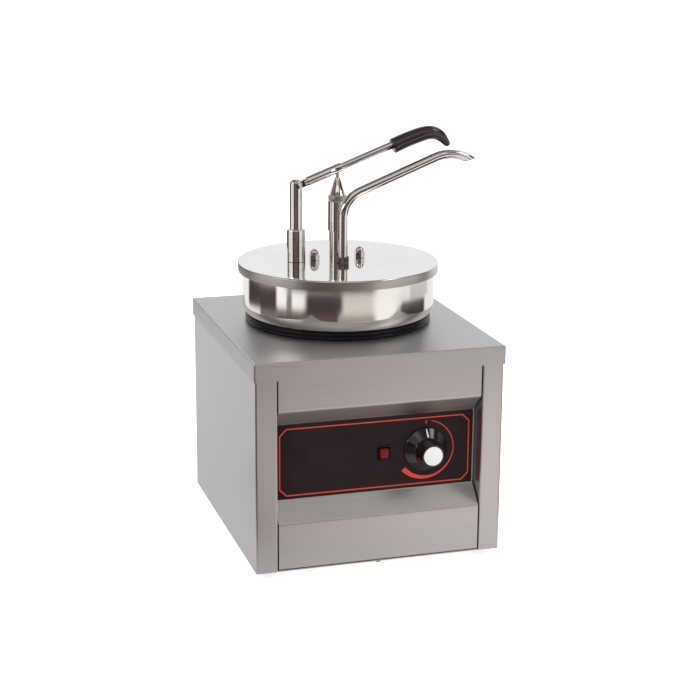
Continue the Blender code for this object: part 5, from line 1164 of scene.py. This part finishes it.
# A card's two turns and their softness in degrees, its two reaches and their softness, and its tone.
# In the room the reach is the rise of the mirrored ray, on the floor the distance from the pot's axis.
ROOM_CARDS = (
    (-120, 120, 20, 0.28, 0.85, 0.08, (0.16, 0.135, 0.125)),
    (-40, 46, 16, 0.28, 0.60, 0.08, (0.62, 0.57, 0.54)),
    (-36, 40, 12, 0.62, 0.78, 0.05, (1.20, 1.17, 1.13)),
    (-200, 200, 10, 0.86, 2.0, 0.08, (0.38, 0.37, 0.36)),
    (-200, -70, 12, 0.84, 2.0, 0.06, (0.05, 0.045, 0.045)),
    (110, 200, 12, 0.84, 2.0, 0.06, (0.05, 0.045, 0.045)),
    (-80, -44, 12, 0.24, 0.42, 0.06, (3.20, 3.20, 3.20)),
    (48, 72, 12, 0.24, 0.42, 0.06, (1.60, 1.60, 1.56)),
    (80, 122, 8, 0.23, 0.62, 0.05, (0.05, 0.035, 0.033)),
    (66, 92, 4, 0.62, 0.80, 0.04, (4.2, 4.2, 4.2)),
    (-44, 40, 4, -1.0, 0.27, 0.03, (0.020, 0.013, 0.012)),
    (-28, 24, 4, -1.0, 0.27, 0.03, (0.150, 0.105, 0.096)),
    (-60, 76, 8, -0.30, 0.12, 0.04, (0.040, 0.026, 0.024)),
    (-126, -104, 4, -1.0, 0.25, 0.03, (0.020, 0.013, 0.012)),
    (104, 126, 4, -1.0, 0.25, 0.03, (0.020, 0.013, 0.012)),
)
# On the floor these are painted light and shade: patches that glow only for mirrored rays
FLOOR_CARDS = (
    (-100, 2, 10, 0.30, 1.09, 0.04, (0.12, 0.090, 0.080)),
    (-100, -72, 8, 0.30, 1.07, 0.04, (0.22, 0.190, 0.180)),
    (2, 46, 12, 0.82, 1.05, 0.05, (0.34, 0.29, 0.25)),
    (56, 104, 8, 0.30, 1.10, 0.04, (0.055, 0.034, 0.034)),
    (78, 122, 8, 0.80, 1.13, 0.03, (0.055, 0.034, 0.034)),
    (-74, -38, 6, 1.08, 1.30, 0.06, (1.20, 1.18, 1.15)),
    (4, 42, 16, 1.05, 1.30, 0.08, (0.82, 0.77, 0.71)),
    (-62, 50, 20, 1.26, 1.375, 0.03, (0.045, 0.030, 0.028)),
    (-44, 40, 4, 1.38, 9.0, 0.02, (0.020, 0.013, 0.012)),
    (-28, 24, 4, 1.38, 9.0, 0.02, (0.150, 0.105, 0.096)),
    (-128, -74, 7, 1.05, 1.30, 0.06, (0.050, 0.032, 0.034)),
    (-60, -53, 4, 1.05, 1.25, 0.10, (0.26, 0.25, 0.24)),
    (-36, 6, 10, 1.05, 1.25, 0.06, (0.060, 0.042, 0.046)),
    (44, 74, 18, 0.90, 1.34, 0.10, (1.12, 1.09, 1.05)),
    (92, 130, 6, 1.14, 1.30, 0.05, (0.68, 0.67, 0.65)),
    (-181, -104, 5, 1.40, 9.0, 0.02, (0.020, 0.013, 0.012)),
    (104, 124, 5, 1.42, 9.0, 0.02, (0.020, 0.013, 0.012)),
    (124, 181, 5, 1.30, 9.0, 0.02, (1.25, 1.25, 1.25)),
)


def studio_world():
    """White to the eye, an even soft room to dull surfaces, soft boxes and a dark room to bright metal."""
    world = bpy.data.worlds.new("studio")
    bpy.context.scene.world = world
    world.use_nodes = True
    tree = world.node_tree
    ground = tree.nodes["Background"]
    path = tree.nodes.new("ShaderNodeLightPath")
    way = tree.nodes.new("ShaderNodeTexCoord").outputs["Generated"]
    _, turn, rise = polar(tree, way, Vector())
    room = with_cards(tree, (0.92, 0.92, 0.92, 1), turn, rise, ROOM_CARDS)
    seen = blend(tree, path.outputs["Is Glossy Ray"], (ROOM_LIGHT, ROOM_LIGHT, ROOM_LIGHT, 1), room)
    clear = reckon(tree, "MAXIMUM", path.outputs["Is Camera Ray"], path.outputs["Is Transmission Ray"])
    tree.links.new(blend(tree, clear, seen, (1, 1, 1, 1)), ground.inputs["Color"])


def studio_floor():
    """A pale floor that keeps the shadow and shows white; to mirrored rays it glows instead with painted
    light and shade, a bright stage and the dark beyond, for bright metal to reflect.
    """
    bm = bmesh.new()
    bmesh.ops.create_grid(bm, x_segments=1, y_segments=1, size=FLOOR_HALF)
    floor = mesh_piece("floor", bm)
    material = bpy.data.materials.new("pale_floor")
    material.use_nodes = True
    tree = material.node_tree
    shader = tree.nodes["Principled BSDF"]
    dial(shader, Roughness=0.9, Specular_IOR_Level=0.1)
    spot = tree.nodes.new("ShaderNodeTexCoord").outputs["Object"]
    path = tree.nodes.new("ShaderNodeLightPath")
    mirrored = path.outputs["Is Glossy Ray"]
    tone = blend(tree, noise(tree, spot, 40.0, 4), (0.80, 0.80, 0.80, 1), (0.83, 0.83, 0.83, 1))
    tree.links.new(blend(tree, mirrored, tone, (0, 0, 0, 1)), shader.inputs["Base Color"])
    # Painted light and shade: the glow that only mirrored rays see, dim to the left and bright to the right,
    # with dark and bright patches laid over it
    reach, turn, _ = polar(tree, spot, AXIS)
    parts = axes(tree, spot)
    front = spread(tree, parts["Y"], -0.30, -0.05, 1.0, 0.0)
    side = spread(tree, parts["Y"], 0.10, 0.90, 0.78, 0.94)
    rightward = spread(tree, parts["X"], -0.15, 0.40)
    warm = blend(tree, rightward, (0.60, 0.53, 0.51, 1), (1.40, 1.30, 1.26, 1))
    painted_floor_glow = blend(tree, front, side, warm)
    painted_floor_glow = blend(tree, spread(tree, reach, 0.85, 1.05), painted_floor_glow, (1.0, 0.99, 0.97, 1))
    painted_floor_glow = with_cards(tree, painted_floor_glow, turn, reach, FLOOR_CARDS)
    white = (CAMERA_FLOOR, CAMERA_FLOOR, CAMERA_FLOOR, 1)
    shown = blend(tree, path.outputs["Is Camera Ray"], (0, 0, 0, 1), white)
    tree.links.new(blend(tree, mirrored, shown, painted_floor_glow), shader.inputs["Emission Color"])
    shader.inputs["Emission Strength"].default_value = 1.0
    floor.data.materials.append(material)


def soft_lamp(name, place, aim, size, power):
    """A square soft lamp."""
    data = bpy.data.lights.new(name, "AREA")
    data.shape = "SQUARE"
    data.size = size
    data.energy = power
    lamp_object = added(name, data)
    lamp_object.location = place
    lamp_object.rotation_euler = (Vector(aim) - Vector(place)).to_track_quat("-Z", "Y").to_euler()
    lamp_object.visible_glossy = False


def camera():
    """The camera at the photograph's angle."""
    level = math.cos(VIEW_RISE)
    back = Vector((math.sin(VIEW_TURN) * level, -math.cos(VIEW_TURN) * level, math.sin(VIEW_RISE)))
    side = (-back).cross(Vector((0, 0, 1))).normalized()
    rise = side.cross(-back)
    across = math.cos(VIEW_ROLL) * side + math.sin(VIEW_ROLL) * rise
    upward = -math.sin(VIEW_ROLL) * side + math.cos(VIEW_ROLL) * rise
    turn = Matrix((across, upward, back)).transposed().to_4x4()
    data = bpy.data.cameras.new("camera")
    data.lens = CAMERA_LENS
    data.sensor_width = SENSOR_WIDTH
    eye = added("camera", data)
    eye.matrix_world = Matrix.Translation(CAMERA_AT) @ turn
    bpy.context.scene.camera = eye


dress_nodes()
pot()
seat_ring()
lid()
cap_nut("left", -1)
cap_nut("right", 1)
post()
lever()
grip()
plunger()
coil()
spout()
spout_nut()
knob()
lamp()
control_marks()
feet()
gland()
studio_world()
studio_floor()
soft_lamp("key", (-1.6, -1.2, 1.7), (0, 0, 0.2), 1.6, 22)
soft_lamp("fill", (1.6, -0.8, 1.3), (0, 0, 0.2), 1.4, 10)
soft_lamp("top", (0.0, 0.5, 2.0), (0, 0, 0.2), 1.8, 12)
camera()
bpy.context.scene.view_settings.view_transform = "Standard"
